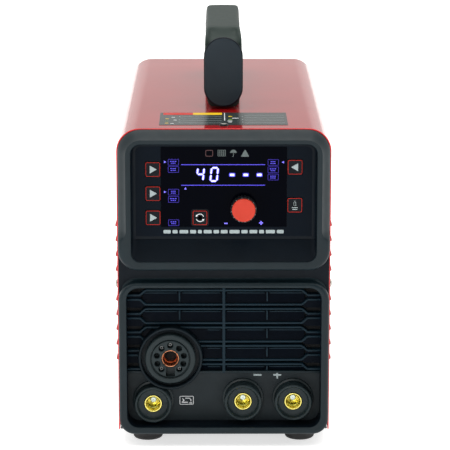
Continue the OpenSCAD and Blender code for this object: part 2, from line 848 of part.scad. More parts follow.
module mains_switch_rocker() {
  tilt = 10;
  x = switch_pos[0];
  color([0.75, 0.1, 0.08])
    translate([x, front_y + rear_face - 2, switch_pos[1]])
      rotate([tilt, 0, 0])
        rotate([90, 0, 90]) {
          translate([0, 0, -10.4]) linear_extrude(20.8)
            polygon([[-7, -3.4], [-7, 3.4], [3, 8.6], [6, 8.2], [4.4, 0], [6, -8.2], [3, -8.6]]);
          translate([0, 0, -12.6]) cylinder(h = 25.2, r = 1.5);
        }
}

module cable_gland() {
  color([0.07, 0.07, 0.08]) {
    difference() {
      union() {
        rod(gland_pos, rear_face, rear_face + 5, 14, 6);
        rod(gland_pos, rear_face + 5, rear_face + 14, 12.5);
        translate([gland_pos[0], front_y + rear_face + 14, gland_pos[1]]) rotate([-90, 0, 0])
          cylinder(h = gland_out - 14, r1 = 12.5, r2 = 8.5);
        rod(gland_pos, rear_face - 18, rear_face, 10);
      }
      rod(gland_pos, rear_face - 19, rear_face + 30, 5.5);
    }
    difference() {
      rod(gland_pos, rear_face - 10, rear_face - 4, 14.5, 6);
      rod(gland_pos, rear_face - 20, rear_face, 10.1);
    }
  }
}

module air_inlet() {
  color("goldenrod")
  difference() {
    union() {
      rod(inlet_pos, rear_face, rear_face + 5, 9, 6);
      rod(inlet_pos, rear_face + 5, rear_face + 17, 7.5);
      rod(inlet_pos, rear_face - 20, rear_face, 6.4);
    }
    rod(inlet_pos, rear_face + 1, rear_face + 18, 4.05);
    rod(inlet_pos, rear_face - 21, rear_face + 2, 2.5);
  }
}

// ---- Power electronics ----

module power_board() {
  color("darkgreen")
  difference() {
    box([-90, 90], [66, 334], [board_z, board_z + 1.6]);
    for (x = spacer_x, y = spacer_y) post(x, y, board_z - 1, board_z + 3, 2);
  }
}

module heat_sinks() {
  z0 = board_z + 1.6;
  color("lightgray")
    for (x = [-52, 28]) {
      box([x, x + 44], [110, 300], [z0, z0 + 8]);
      for (i = [0 : 7]) box([x + i * 6, x + i * 6 + 2], [110, 300], [z0 + 8, z0 + 52]);
    }
}

module bulk_capacitors() {
  color([0.15, 0.2, 0.45])
    for (y = [110, 148, 186, 224]) post(-72, y, board_z + 1.6, board_z + 47, 16);
}

module transformer_core() {
  x = [18, 82];
  y = [110, 166];
  color([0.25, 0.24, 0.24])
  difference() {
    box(x, y, [tray_top, 92]);
    for (window = [[y[0] + 9, y[0] + 20], [y[1] - 20, y[1] - 9]])
      box([x[0] - 1, x[1] + 1], window, [tray_top + 12, 80]);
  }
}

module transformer_winding() {
  color([0.7, 0.55, 0.2])
  difference() {
    box([10, 90], [119.2, 156.8], [tray_top + 12.2, 79.8]);
    box([17.8, 82.2], [129.8, 146.2], [tray_top, 100]);
  }
}

module output_choke() {
  color([0.65, 0.4, 0.22])
    translate([50, 240 + front_y, 47]) rotate([0, 90, 0])
      rotate_extrude() translate([22, 0]) circle(11.5);
}

module compressor_motor() {
  color([0.35, 0.36, 0.38]) {
    rod([pump_x, pump_z], pump_y[1], pump_y[1] + 60, 30);
    rod([pump_x, pump_z], pump_y[1] + 60, pump_y[1] + 64, 14);
  }
}

// Crankcase, finned cylinder and head in one casting
module compressor_pump() {
  mid = (pump_y[0] + pump_y[1]) / 2;
  color([0.55, 0.56, 0.58])
  difference() {
    union() {
      box([pump_x - 34, pump_x + 34], pump_y, [tray_top, tray_top + 5]);
      box([pump_x - 26, pump_x + 26], pump_y, [tray_top + 5, pump_z + 28]);
      post(pump_x, mid, pump_z + 28, 134, 19);
      for (z = [96 : 6 : 126]) post(pump_x, mid, z, z + 2.4, 24);
      box([pump_x - 22, pump_x + 22], [mid - 22, mid + 22], [132, 144]);
    }
    rod([pump_x, pump_z], pump_y[0] - 1, pump_y[0] + 30, 8.05);
  }
}

// The crank's outer end, with its bob weight and cooling wheel
module compressor_crank() {
  y = pump_y[0];
  color("silver") {
    rod([pump_x, pump_z], y - 14, y + 28, 8);
    difference() {
      rod([pump_x, pump_z], y - 10, y - 4, 26);
      for (a = [0 : 60 : 300])
        rod([pump_x + 16.5 * cos(a), pump_z + 16.5 * sin(a)], y - 11, y - 3, 6);
    }
  }
}

module solenoid_valve() {
  x = torch_pos[0];
  z = torch_pos[1];
  color("goldenrod")
  difference() {
    union() {
      box([x - 13, x + 13], valve_y, [z - 13, z + 13]);
      post(x, 108, z - 34, z - 13, 14);
    }
    rod(torch_pos, valve_y[0] - 1, valve_y[1] + 1, 4);
  }
}

// One pipe run from the pump's head down to the valve, and a short one on to the torch socket
module air_hose() {
  x = torch_pos[0];
  z = torch_pos[1];
  y_up = 200;
  mid = (pump_y[0] + pump_y[1]) / 2;
  color([0.12, 0.2, 0.5]) {
    difference() {
      rod(torch_pos, 46, valve_y[0], 8);
      rod(torch_pos, 45, valve_y[0] + 1, 6.1);
    }
    rod(torch_pos, valve_y[1], y_up, hose_r);
    elbow(x, y_up, z + hose_bend, -90);
    post(x, y_up + hose_bend, z + hose_bend, hose_high_z - hose_bend + 10, hose_r);
    elbow(x, y_up + 2 * hose_bend, hose_high_z - hose_bend + 10, 90);
    rod([x, hose_high_z + 10], y_up + 2 * hose_bend, mid - 22, hose_r);
  }
}

// A quarter bend in the YZ plane about the point (y, z), starting at the given angle
module elbow(x, y, z, start) {
  translate([x, y + front_y, z]) rotate([90, 0, 90])
    rotate([0, 0, start]) rotate_extrude(angle = 90) translate([hose_bend, 0]) circle(hose_r);
}

base_tray();
cover();
front_panel();
rear_panel();
component_shelf();
feet();
foot_screws();
cover_screws();
cup_washer();
rear_screws();
handle_body();
handle_front_cap();
handle_rear_cap();
handle_screws();
top_label();
rating_plate();
control_overlay();
display_window();
display_module();
control_board();
tactile_switches();
button_left_top();
button_left_middle();
button_left_lower();
button_select();
button_right_top();
button_right_lower();
encoder_body();
encoder_shaft();
knob_body();
knob_cap();
torch_socket_body();
torch_socket_contact();
torch_socket_pins();
socket_body_left();
socket_body_middle();
socket_body_right();
socket_contact_left();
socket_contact_middle();
socket_contact_right();
socket_nuts();
output_leads();
fan_frame();
fan_rotor();
fan_guard();
mains_switch_body();
mains_switch_rocker();
cable_gland();
air_inlet();
power_board();
heat_sinks();
bulk_capacitors();
transformer_core();
transformer_winding();
output_choke();
compressor_motor();
compressor_pump();
compressor_crank();
solenoid_valve();
air_hose();
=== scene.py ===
"""The looks of a portable plasma cutter with a built-in compressor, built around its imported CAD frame.

Shapes are drawn in millimetres, in the case's own frame: x to the right, y from the cover's front edge
towards the rear, z up from the floor. piece() turns them into metres in the CAD frame.
"""

import json
import math

import bmesh
import bpy
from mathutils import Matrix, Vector


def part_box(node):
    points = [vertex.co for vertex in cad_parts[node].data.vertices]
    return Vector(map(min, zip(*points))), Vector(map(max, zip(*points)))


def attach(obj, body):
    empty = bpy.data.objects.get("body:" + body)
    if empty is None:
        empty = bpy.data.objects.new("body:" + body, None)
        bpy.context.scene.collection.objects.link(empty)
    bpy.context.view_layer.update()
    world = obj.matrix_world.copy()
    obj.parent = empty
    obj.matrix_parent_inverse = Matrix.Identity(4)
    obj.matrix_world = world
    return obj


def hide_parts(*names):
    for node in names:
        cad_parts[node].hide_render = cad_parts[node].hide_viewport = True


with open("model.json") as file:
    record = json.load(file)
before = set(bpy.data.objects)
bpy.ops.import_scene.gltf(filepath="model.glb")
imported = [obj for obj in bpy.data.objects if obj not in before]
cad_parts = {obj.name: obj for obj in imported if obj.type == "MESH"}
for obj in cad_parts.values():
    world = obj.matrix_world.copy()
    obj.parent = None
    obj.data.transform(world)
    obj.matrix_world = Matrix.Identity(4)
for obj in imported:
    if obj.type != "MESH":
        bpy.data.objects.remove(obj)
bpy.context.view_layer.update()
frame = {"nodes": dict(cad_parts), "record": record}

MM = 0.001
FRONT_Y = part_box("cover")[0].y     # where the cover's front edge lies in the CAD frame
SLOT_OF = {part["node"]: part["material_slot"] for part in frame["record"]["subparts"]}
BODY_OF = {node: body for body, nodes in frame["record"]["behaviour"]["bodies"].items() for node in nodes}


def in_mm(place):
    """A place in the CAD frame, in the case's own frame and in millimetres."""
    return place.x / MM, (place.y - FRONT_Y) / MM, place.z / MM


def node_box(node):
    """The low and the high corner of a CAD node."""
    return [in_mm(corner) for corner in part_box(node)]


def node_middle(node):
    low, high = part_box(node)
    return in_mm((low + high) / 2)


def node_width(node):
    low, high = node_box(node)
    return high[0] - low[0]


# Outlines: lists of (x, z) points, or of any two coordinates

def arc(centre, radius, first, last, steps):
    """Points on an arc, from one angle to another in degrees."""
    angles = [math.radians(first + (last - first) * i / steps) for i in range(steps + 1)]
    return [(centre[0] + radius * math.cos(angle), centre[1] + radius * math.sin(angle)) for angle in angles]


def circle(centre, radius, count):
    return arc(centre, radius, 0, 360, count)[:-1]


def rect(a0, a1, b0, b1):
    return [(a0, b0), (a1, b0), (a1, b1), (a0, b1)]


def around(x, z, half, half_z=None):
    """The limits x0, x1, z0, z1 of a rectangle about a middle point."""
    half_z = half if half_z is None else half_z
    return x - half, x + half, z - half_z, z + half_z


def fillet(corners, steps, closed=True):
    """An outline from corners (a, b, radius), with an arc in place of each corner that has a radius."""
    outline = []
    count = len(corners)
    for i, (a, b, radius) in enumerate(corners):
        if radius <= 0 or (not closed and i in (0, count - 1)):
            outline.append((a, b))
            continue
        here = Vector((a, b))
        back = (Vector(corners[i - 1][:2]) - here).normalized()
        ahead = (Vector(corners[(i + 1) % count][:2]) - here).normalized()
        half = back.angle(ahead) / 2
        centre = here + (back + ahead).normalized() * (radius / math.sin(half))
        start, end = (here + way * (radius / math.tan(half)) - centre for way in (back, ahead))
        first = math.atan2(start.y, start.x)
        sweep = (math.atan2(end.y, end.x) - first + math.pi) % (2 * math.pi) - math.pi
        for step in range(steps + 1):
            angle = first + sweep * step / steps
            outline.append((centre.x + radius * math.cos(angle), centre.y + radius * math.sin(angle)))
    return outline


def rounded_rect(x0, x1, z0, z1, radius, steps=6):
    return fillet([(a, b, radius) for a, b in rect(x0, x1, z0, z1)], steps)


def shrunk(outline, inset):
    """An anticlockwise outline moved inwards by inset, corner by corner."""
    count = len(outline)
    result = []
    for i in range(count):
        before, here, after = (Vector(outline[(i + d) % count]) for d in (-1, 0, 1))
        normals = [Vector((-along.y, along.x)) for along in
                   ((here - before).normalized(), (after - here).normalized())]
        middle = (normals[0] + normals[1]).normalized()
        result.append(tuple(here + middle * (inset / max(0.35, middle.dot(normals[1])))))
    return result


def band(points, width):
    """The outline of a strip of that width along a line of points, with mitred joints."""
    left, right = [], []
    for i, point in enumerate(points):
        here = Vector(point)
        along_a = (here - Vector(points[i - 1])).normalized() if i else None
        along_b = (Vector(points[i + 1]) - here).normalized() if i < len(points) - 1 else along_a
        along_a = along_a or along_b
        normal = Vector((-along_b.y, along_b.x))
        middle = (Vector((-along_a.y, along_a.x)) + normal).normalized()
        reach = width / 2 / middle.dot(normal)
        left.append(tuple(here + middle * reach))
        right.append(tuple(here - middle * reach))
    return right + left[::-1]


def smooth_step(low, high, value):
    t = min(1.0, max(0.0, (value - low) / (high - low)))
    return t * t * (3 - 2 * t)


# Shapes: each function returns (vertices, faces) in millimetres, and join() puts several together

def join(*shapes):
    verts, faces = [], []
    for shape_verts, shape_faces in shapes:
        start = len(verts)
        verts += shape_verts
        faces += [tuple(start + i for i in face) for face in shape_faces]
    return verts, faces


def loft(rings, closed=False):
    """Skins rings of equal length. A closed loft joins its last ring to its first; an open one is capped."""
    count = len(rings[0])
    verts = [tuple(point) for ring in rings for point in ring]
    faces = []
    for i in range(len(rings) if closed else len(rings) - 1):
        j = (i + 1) % len(rings)
        for k in range(count):
            m = (k + 1) % count
            faces.append((i * count + k, i * count + m, j * count + m, j * count + k))
    if not closed:
        last = (len(rings) - 1) * count
        faces += [tuple(reversed(range(count))), tuple(range(last, last + count))]
    return verts, faces


def changed(shape, change):
    """A shape with every vertex put through change(x, y, z)."""
    verts, faces = shape
    return [change(*vert) for vert in verts], faces


def turned(shape, angle, centre):
    """Turns a shape about a line along Y through centre = (x, z), anticlockwise seen from the front."""
    cos, sin = math.cos(math.radians(angle)), math.sin(math.radians(angle))
    cx, cz = centre
    return changed(shape, lambda x, y, z: (cx + (x - cx) * cos - (z - cz) * sin, y,
                                           cz + (x - cx) * sin + (z - cz) * cos))


def slab(outline, y0, y1):
    """An (x, z) outline made solid from y0 to y1."""
    return loft([[(x, y, z) for x, z in outline] for y in (y0, y1)])


def soft_slab(outline, y0, y1, edge, steps=3):
    """A slab whose front face, at y0, has its edge rounded to the radius edge."""
    rings = []
    for step in range(steps + 1):
        angle = math.pi / 2 * step / steps
        ring = shrunk(outline, edge * (1 - math.sin(angle)))
        rings.append([(x, y0 + edge * (1 - math.cos(angle)), z) for x, z in ring])
    return loft(rings + [[(x, y1, z) for x, z in outline]])


def lathe(profile, centre, count=64, closed=False):
    """Turns a profile of (radius, y) points about a line along Y through centre = (x, z)."""
    return loft([[(x, y, z) for x, z in circle(centre, radius, count)] for radius, y in profile], closed)


def upright(profile, x, y, count=48, closed=False):
    """Turns a profile of (radius, z) points about a vertical line."""
    return loft([[(cx, cy, z) for cx, cy in circle((x, y), radius, count)] for radius, z in profile], closed)


def outline_box(x0, x1, z0, z1, line, y, proud, radius=1.0):
    """A thin rectangular outline, standing proud of a surface at y."""
    outer = rounded_rect(x0, x1, z0, z1, radius, 3)
    inner = rounded_rect(x0 + line, x1 - line, z0 + line, z1 - line, max(0.1, radius - line), 3)
    return loft([[(x, at, z) for x, z in ring] for ring, at in
                 ((outer, y + 0.1), (outer, y - proud), (inner, y - proud), (inner, y + 0.1))], closed=True)


def stroke(points, width, y, proud):
    """A printed line along points (x, z)."""
    return slab(band(points, width), y - proud, y + 0.1)


def bar(x0, x1, z0, z1, y, proud, radius):
    """A printed or raised bar with rounded corners."""
    return soft_slab(rounded_rect(x0, x1, z0, z1, radius, 2), y - proud, y + 0.2, min(0.08, proud / 2), 1)


def wire(points, radius, count=10, closed=True):
    """A wire bent along points (x, y, z)."""
    rings = []
    total = len(points)
    for i, point in enumerate(points):
        here = Vector(point)
        before = Vector(points[i - 1]) if closed or i else here
        after = Vector(points[(i + 1) % total]) if closed or i < total - 1 else here
        along = (after - before).normalized()
        side = along.cross(Vector((0, 1, 0)))
        side = side.normalized() if side.length > 0.05 else Vector((1, 0, 0))
        up = side.cross(along)
        rings.append([tuple(here + side * a + up * b) for a, b in circle((0, 0), radius, count)])
    return loft(rings, closed)


# Pieces

def mesh_of(name, shape):
    verts, faces = shape
    mesh = bpy.data.meshes.new(name)
    mesh.from_pydata([(x * MM, y * MM + FRONT_Y, z * MM) for x, y, z in verts], [], faces)
    work = bmesh.new()
    work.from_mesh(mesh)
    bmesh.ops.recalc_face_normals(work, faces=work.faces)
    work.to_mesh(mesh)
    work.free()
    return mesh


def shade(mesh, angle):
    """Smooth shading, with sharp edges where faces meet at more than angle degrees."""
    mesh.shade_smooth()
    mesh.set_sharp_from_angle(angle=math.radians(angle))


def add_object(name, data):
    obj = bpy.data.objects.new(name, data)
    bpy.context.scene.collection.objects.link(obj)
    return obj


def piece(name, shape, node=None, material=None, slot=None, body=None, smooth=32):
    """Makes one visible piece, which may stand for a CAD node.

    It takes its slot and its body from that node and its material from that slot, unless others are given.
    """
    mesh = mesh_of(name, shape)
    shade(mesh, smooth)
    slot = slot or SLOT_OF[node]
    mesh.materials.append(FINISHES[material or slot])
    obj = add_object(name, mesh)
    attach(obj, body or BODY_OF.get(node, "case"))
    if node:
        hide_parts(node)
    return obj


def recolour(obj, material, chosen):
    """Gives a second material to the faces that chosen picks by their middles, in the case's frame."""
    obj.data.materials.append(FINISHES[material])
    for face in obj.data.polygons:
        x, y, z = face.center / MM
        if chosen(x, y - FRONT_Y / MM, z):
            face.material_index = 1


def apply_modifiers(obj):
    """Replaces a piece's mesh with the one that its modifiers make."""
    graph = bpy.context.evaluated_depsgraph_get()
    mesh = bpy.data.meshes.new_from_object(obj.evaluated_get(graph), depsgraph=graph)
    obj.modifiers.clear()
    obj.data = mesh


def cut(obj, shape, smooth=32):
    """Cuts a shape out of a piece."""
    cutter = add_object("cutter", mesh_of("cutter", shape))
    modifier = obj.modifiers.new("cut", "BOOLEAN")
    modifier.operation = "DIFFERENCE"
    modifier.object = cutter
    modifier.solver = "EXACT"
    apply_modifiers(obj)
    bpy.data.objects.remove(cutter)
    shade(obj.data, smooth)


# Finishes

class Nodes:
    """A material's node tree, with short calls for the few nodes that every finish here uses."""

    def __init__(self):
        self.material = bpy.data.materials.new("finish")
        self.material.use_nodes = True
        self.tree = self.material.node_tree
        self.place = self.tree.nodes.new("ShaderNodeTexCoord").outputs["Object"]

    def feed(self, node, inputs):
        """Links or sets a node's inputs."""
        for name, value in inputs.items():
            if isinstance(value, bpy.types.NodeSocket):
                self.tree.links.new(value, node.inputs[name])
            else:
                node.inputs[name].default_value = value

    def add(self, kind, output, inputs, **settings):
        node = self.tree.nodes.new("ShaderNode" + kind)
        for name, value in settings.items():
            setattr(node, name, value)
        self.feed(node, inputs)
        return node.outputs[output]

    def done(self, inputs):
        """Feeds the surface shader, and hands over the material."""
        self.feed(self.tree.nodes["Principled BSDF"], inputs)
        return self.material

    def noise(self, scale, detail=3.0, stretch=(1, 1, 1)):
        """Noise of that many features to the metre, from 0 to 1."""
        place = self.add("Mapping", "Vector", {"Scale": stretch, "Vector": self.place})
        return self.add("TexNoise", "Fac", {"Scale": scale, "Detail": detail, "Vector": place})

    def spread(self, source, low, high, start=0.3, end=0.7):
        """Maps start..end to low..high."""
        return self.add("MapRange", "Result", {"From Min": start, "From Max": end, "To Min": low,
                                               "To Max": high, "Value": source})

    def mottled(self, factor, colour, amount):
        """A colour that varies by amount either way as factor goes from 0 to 1."""
        dark = [c * (1 - amount) for c in colour]
        light = [min(1.0, c * (1 + amount)) for c in colour]
        return self.add("Mix", "Result", {"A": (*dark, 1), "B": (*light, 1), "Factor": factor},
                        data_type="RGBA")

    def cloudy(self, scale, colour, amount):
        return self.mottled(self.spread(self.noise(scale), 0, 1), colour, amount)

    def bump(self, height, depth, strength=1.0, under=None):
        """Bump of that depth in metres, laid over another bump if one is given."""
        inputs = {"Distance": depth, "Strength": strength, "Height": height}
        if under is not None:
            inputs["Normal"] = under
        return self.add("Bump", "Normal", inputs)


def finish(colour, rough, metallic=0.0, mottle=0.08, cloud=40.0, wear=0.06, grain=1500.0,
           depth=0.00001, stretch=(1, 1, 1), specular=0.5):
    """A finish with a fine surface grain, slow variation of its colour, and uneven gloss."""
    nodes = Nodes()
    return nodes.done({
        "Base Color": nodes.cloudy(cloud, colour, mottle),
        "Roughness": nodes.spread(nodes.noise(cloud * 2.3, 4.0), max(0.02, rough - wear),
                                  min(1.0, rough + wear)),
        "Normal": nodes.bump(nodes.noise(grain, 2.0, stretch), depth),
        "Metallic": metallic, "Specular IOR Level": specular})


def moulded(colour, rough=0.42, texture=1100.0, depth=0.00002, specular=0.22, mottle=0.10, wear=0.05):
    """Spark-eroded moulded plastic: a pebbled grain, with finer noise over it."""
    nodes = Nodes()
    pebbles = nodes.bump(nodes.spread(nodes.noise(texture, 1.0), 0, 1, 0.35, 0.65), depth, 0.5)
    return nodes.done({
        "Base Color": nodes.cloudy(55.0, colour, mottle),
        "Roughness": nodes.spread(nodes.noise(140.0, 5.0), rough - wear, rough + wear),
        "Normal": nodes.bump(nodes.noise(texture * 3.7, 2.0), depth * 0.3, 0.5, pebbles),
        "Specular IOR Level": specular})


def gloss_paint(colour):
    """Powder coat: a clear gloss with the faint long ripple of orange peel."""
    nodes = Nodes()
    return nodes.done({
        "Base Color": nodes.cloudy(18.0, colour, 0.05),
        "Roughness": nodes.spread(nodes.noise(30.0, 3.0), 0.07, 0.12),
        "Normal": nodes.bump(nodes.noise(90.0, 0.0), 0.000004, 0.2),
        "Specular IOR Level": 0.40})


def spangled(colour):
    """Zinc-coated steel sheet, with the flake pattern of hot-dip galvanising."""
    nodes = Nodes()
    flakes = nodes.add("TexVoronoi", "Color", {"Scale": 95.0, "Vector": nodes.place})
    return nodes.done({
        "Base Color": nodes.mottled(nodes.spread(flakes, 0, 1, 0.1, 0.9), colour, 0.16),
        "Roughness": nodes.spread(flakes, 0.34, 0.52, 0.1, 0.9),
        "Normal": nodes.bump(nodes.noise(900.0, 3.0), 0.00001),
        "Metallic": 0.9})


def glowing(colour, strength=1.0):
    """A lit segment of the display, with a slightly uneven diffuser."""
    nodes = Nodes()
    return nodes.done({
        "Emission Color": nodes.cloudy(500.0, colour, 0.12),
        "Roughness": nodes.spread(nodes.noise(300.0), 0.3, 0.5),
        "Normal": nodes.bump(nodes.noise(1500.0), 0.000005),
        "Base Color": (*colour, 1), "Emission Strength": strength})


def ink(colour, rough=0.42, **options):
    return finish(colour, rough, grain=2500.0, **options)


FINISHES = dict(
    # One for each of the record's material slots
    red_paint=gloss_paint((0.32, 0.006, 0.008)),
    bezel_plastic=moulded((0.005, 0.013, 0.0175)),
    handle_plastic=moulded((0.020, 0.033, 0.029), 0.50, 600.0, 0.0000012, 0.13, mottle=0.04, wear=0.015),
    galvanised_steel=spangled((0.55, 0.57, 0.60)),
    black_tray=finish((0.022, 0.024, 0.026), 0.42, grain=700.0, depth=0.00003),
    rubber=finish((0.018, 0.018, 0.019), 0.72, mottle=0.15, wear=0.10, grain=1300.0, depth=0.00004),
    zinc_screw=finish((0.38, 0.37, 0.34), 0.30, 1.0, cloud=300.0, wear=0.12),
    black_metal=finish((0.012, 0.012, 0.013), 0.40, wear=0.10, specular=0.2),
    label_grey=finish((0.032, 0.042, 0.042), 0.24, grain=300.0, depth=0.0000003, specular=0.10,
                      mottle=0.03, wear=0.01),
    plate_silver=finish((0.66, 0.67, 0.68), 0.34, 0.8, grain=900.0, stretch=(1, 1, 22), depth=0.000006),
    overlay=finish((0.001, 0.004, 0.009), 0.36, grain=3200.0, depth=0.000004, specular=0.06),
    window=finish((0.0002, 0.0006, 0.0026), 0.10, wear=0.02, grain=420.0, depth=0.000001, specular=0.02),
    display=finish((0.012, 0.012, 0.016), 0.30, grain=2000.0),
    circuit_board=finish((0.010, 0.11, 0.045), 0.30, mottle=0.25, cloud=160.0),
    black_plastic=moulded((0.010, 0.012, 0.014), 0.46),
    button_plastic=finish((0.004, 0.006, 0.009), 0.38, grain=2400.0, specular=0.10),
    bright_steel=finish((0.70, 0.71, 0.72), 0.22, 1.0, grain=900.0, stretch=(1, 18, 1)),
    orange_plastic=finish((0.56, 0.038, 0.017), 0.40, mottle=0.04, grain=2100.0, depth=0.000012,
                          specular=0.25),
    copper=finish((0.78, 0.33, 0.17), 0.30, 1.0, mottle=0.20, cloud=260.0, wear=0.12),
    gold_pin=finish((0.24, 0.25, 0.25), 0.34, 0.9, cloud=500.0),
    socket_plastic=moulded((0.012, 0.021, 0.024), 0.36, 1500.0, 0.00001),
    brass=finish((0.82, 0.72, 0.20), 0.26, 1.0, mottle=0.12, cloud=220.0, wear=0.09, grain=2200.0),
    fan_plastic=moulded((0.014, 0.015, 0.016), 0.44),
    chrome_wire=finish((0.72, 0.73, 0.75), 0.14, 1.0, cloud=300.0),
    switch_red=finish((0.62, 0.02, 0.02), 0.26, mottle=0.05),
    aluminium=finish((0.72, 0.73, 0.74), 0.34, 1.0, grain=1200.0, stretch=(1, 0.06, 1)),
    capacitor_sleeve=finish((0.02, 0.035, 0.09), 0.28),
    ferrite=finish((0.055, 0.055, 0.058), 0.60, grain=1600.0, depth=0.00003),
    enamelled_wire=finish((0.45, 0.13, 0.04), 0.28, 0.85, grain=500.0, stretch=(1, 1, 7), depth=0.0002),
    motor_steel=finish((0.40, 0.41, 0.43), 0.38, 0.9),
    cast_aluminium=finish((0.58, 0.59, 0.60), 0.52, 0.9, grain=700.0, depth=0.00006),
    hose_blue=finish((0.02, 0.12, 0.50), 0.34),
    # Printed inks
    white_ink=ink((0.80, 0.82, 0.84)),
    grey_ink=ink((0.36, 0.43, 0.44)),
    dim_ink=ink((0.09, 0.12, 0.12)),
    dim_red_ink=ink((0.055, 0.004, 0.006)),
    red_ink=ink((0.55, 0.025, 0.015), 0.45, specular=0.12),
    yellow_ink=ink((0.80, 0.52, 0.015), 0.45, specular=0.12),
    green_ink=ink((0.10, 0.24, 0.02), 0.40),
    violet_ink=ink((0.045, 0.03, 0.36), 0.35, specular=0.1),
    # Painted light and shade: darker copies of the front's plastic for its recesses, the grille's slats and
    # pockets, the torch collar and the handle caps' rims, lighter or bluer ones for the ribs and the
    # connector plate, a darker bluer copy of the handle's plastic for the caps' faces; the sockets' steel
    # stop; a painted highlight in brighter red on the cover's cut edge; and near-black painted shade behind
    # openings, also used for dark print
    recess_shade_plastic=moulded((0.0025, 0.0055, 0.0095), specular=0.11),
    plate_shading_plastic=moulded((0.011, 0.018, 0.022), specular=0.18),
    rib_shading_plastic=moulded((0.004, 0.016, 0.026), specular=0.14),
    slat_shade_plastic=moulded((0.001, 0.003, 0.007), 0.40, specular=0.04),
    collar_shade_plastic=moulded((0.004, 0.009, 0.013), 0.38, specular=0.14),
    cap_shade_plastic=moulded((0.010, 0.020, 0.029), 0.44, 800.0, 0.000004, mottle=0.05, wear=0.03),
    socket_steel=finish((0.70, 0.80, 0.78), 0.36, 0.8),
    red_edge_highlight=finish((0.80, 0.008, 0.012), 0.3, mottle=0.04),
    pit_shade_and_dark_ink=finish((0.004, 0.005, 0.006), 0.80, grain=900.0),
    # Lit parts of the display
    lit_segment=glowing((0.62, 0.62, 1.0)),
    segment_glow=glowing((0.04, 0.035, 0.55)),
    lit_line=glowing((0.05, 0.035, 0.55), 0.75),
    lit_mark=glowing((0.16, 0.13, 0.85), 0.7),
)
for finish_name, material in FINISHES.items():
    material.name = finish_name


# Bezel: an upper and a lower moulded frame with a valley between them

HALF = 108.7                # half the bezel's width
FACE_Y = -16.0              # the frames' front faces
VALLEY_Y = -5.0
BACK_Y = -0.15              # the bezel stops just short of the cover's edge
UPPER_LEVELS = (212, 216, 219, 221, 222.5, 224, 225.5, 227, 229, 232, 240, 255, 270, 285, 300)
LOWER_LEVELS = (40, 60, 80, 100, 120, 140)


def contour(x0, x1, z0, z1, r_low, r_high, levels, steps=10):
    """An anticlockwise rounded rectangle as (x, z, outward x, outward z), with side points at the levels."""
    points = []
    corners = ((x1, z0, r_low, -90, -1, 1), (x1, z1, r_high, 0, -1, -1),
               (x0, z1, r_high, 90, 1, -1), (x0, z0, r_low, 180, 1, 1))
    for i, (x, z, radius, first, to_x, to_z) in enumerate(corners):
        points += [(x + radius * (to_x + nx), z + radius * (to_z + nz), nx, nz)
                   for nx, nz in arc((0, 0), 1, first, first + 90, steps)]
        if i == 0:
            points += [(x1, level, 1, 0) for level in levels]
        if i == 2:
            points += [(x0, level, -1, 0) for level in reversed(levels)]
    return points


def frame_ring(outer, inner, outer_profile, inner_profile):
    """A closed ring between two matched contours. A profile gives (inset, y) pairs at a contour point."""
    rings = []
    for (xo, zo, nxo, nzo), (xi, zi, nxi, nzi) in zip(outer, inner):
        ring = [(xo - nxo * inset, y, zo - nzo * inset) for inset, y in outer_profile(zo, nzo)]
        rings.append(ring + [(xi - nxi * inset, y, zi - nzi * inset) for inset, y in inner_profile])
    return loft(rings, closed=True)


def upper_outer(z, nz):
    """A wide bevel round the top and sides, which narrows at the shoulder to a rounded rim."""
    wide = smooth_step(219.5, 229.5, z)
    profile = [(3.0, 1.0), (3.0, BACK_Y), (0.0, BACK_Y)]
    steps = 9
    for i in range(steps + 1):
        t = i / steps
        bevelled = (8.4 * t, -3.6 - 12.4 * t + 0.9 * math.sin(math.pi * t) * (2 * t - 1))
        turn = math.pi / 2 * t
        rim = (4.6 * (1 - math.cos(turn)), FACE_Y + 4.6 * (1 - math.sin(turn)))
        profile.append(tuple(a + (b - a) * wide for a, b in zip(rim, bevelled)))
    return profile


def lower_outer(z, nz):
    """A rounded rim; along the top it also runs out into the valley through a cove."""
    flare = 4.5 * smooth_step(0.3, 1.0, nz)
    profile = [(3.0, 1.0), (3.0, BACK_Y), (0.0, BACK_Y)]
    profile += [(-flare * (1 - math.sin(math.pi / 2 * i / 5)),
                 VALLEY_Y + 0.3 - flare * (1 - math.cos(math.pi / 2 * i / 5))) for i in range(6)]
    return profile + arc((4.2, FACE_Y + 4.2), 4.2, 180, 270, 7)


def rolled(roll):
    """A profile's small rounded edge at the frames' front."""
    return [(x - roll, y) for x, y in arc((0, FACE_Y + roll), roll, -90, 0, 4)]


def bezel_frame(name, outer, inner, outer_profile, inner_profile, half, z0, z1):
    """A frame, whose recess walls (within half, z0 and z1) take the recess's painted shade, a darker copy of
    its plastic.
    """
    ring = frame_ring(outer, inner, outer_profile, inner_profile)
    recolour(piece(name, ring, "front_panel"), "recess_shade_plastic",
             lambda x, y, z: abs(x) < half and z0 < z < z1 and y > FACE_Y + 1.2)


COVE = 7.0                  # radius of the coves round the control recess
bezel_frame("bezel_upper_frame", contour(-HALF, HALF, 188.7, 333.5, 21, 24, UPPER_LEVELS),
            contour(-94.9, 94.9, 198.2, 320.7, 10, 10, UPPER_LEVELS), upper_outer,
            rolled(1.3) + arc((COVE, -COVE), COVE, 180, 90, 8) + [(COVE, 1.0)], 95.6, 197.4, 321.4)
bezel_frame("bezel_lower_frame", contour(-HALF, HALF, 12.8, 176.1, 16, 20, LOWER_LEVELS),
            contour(-100.5, 100.5, 20.7, 170.5, 12.5, 12.5, LOWER_LEVELS), lower_outer,
            rolled(1.1) + [(0.0, 12.0)], 101.0, 20.2, 171.0)

# The valley's floor stands behind both frames, and shows between them and at its two ends
valley = [(-HALF, 150), (-102.5, 150), (-102.5, 172.5), (102.5, 172.5), (102.5, 150), (HALF, 150),
          (HALF, 215), (97, 215), (97, 196), (-97, 196), (-97, 215), (-HALF, 215)]
# The valley takes the recess's painted shade
piece("bezel_valley", soft_slab(valley, VALLEY_Y, BACK_Y, 1.0), "front_panel", "recess_shade_plastic")


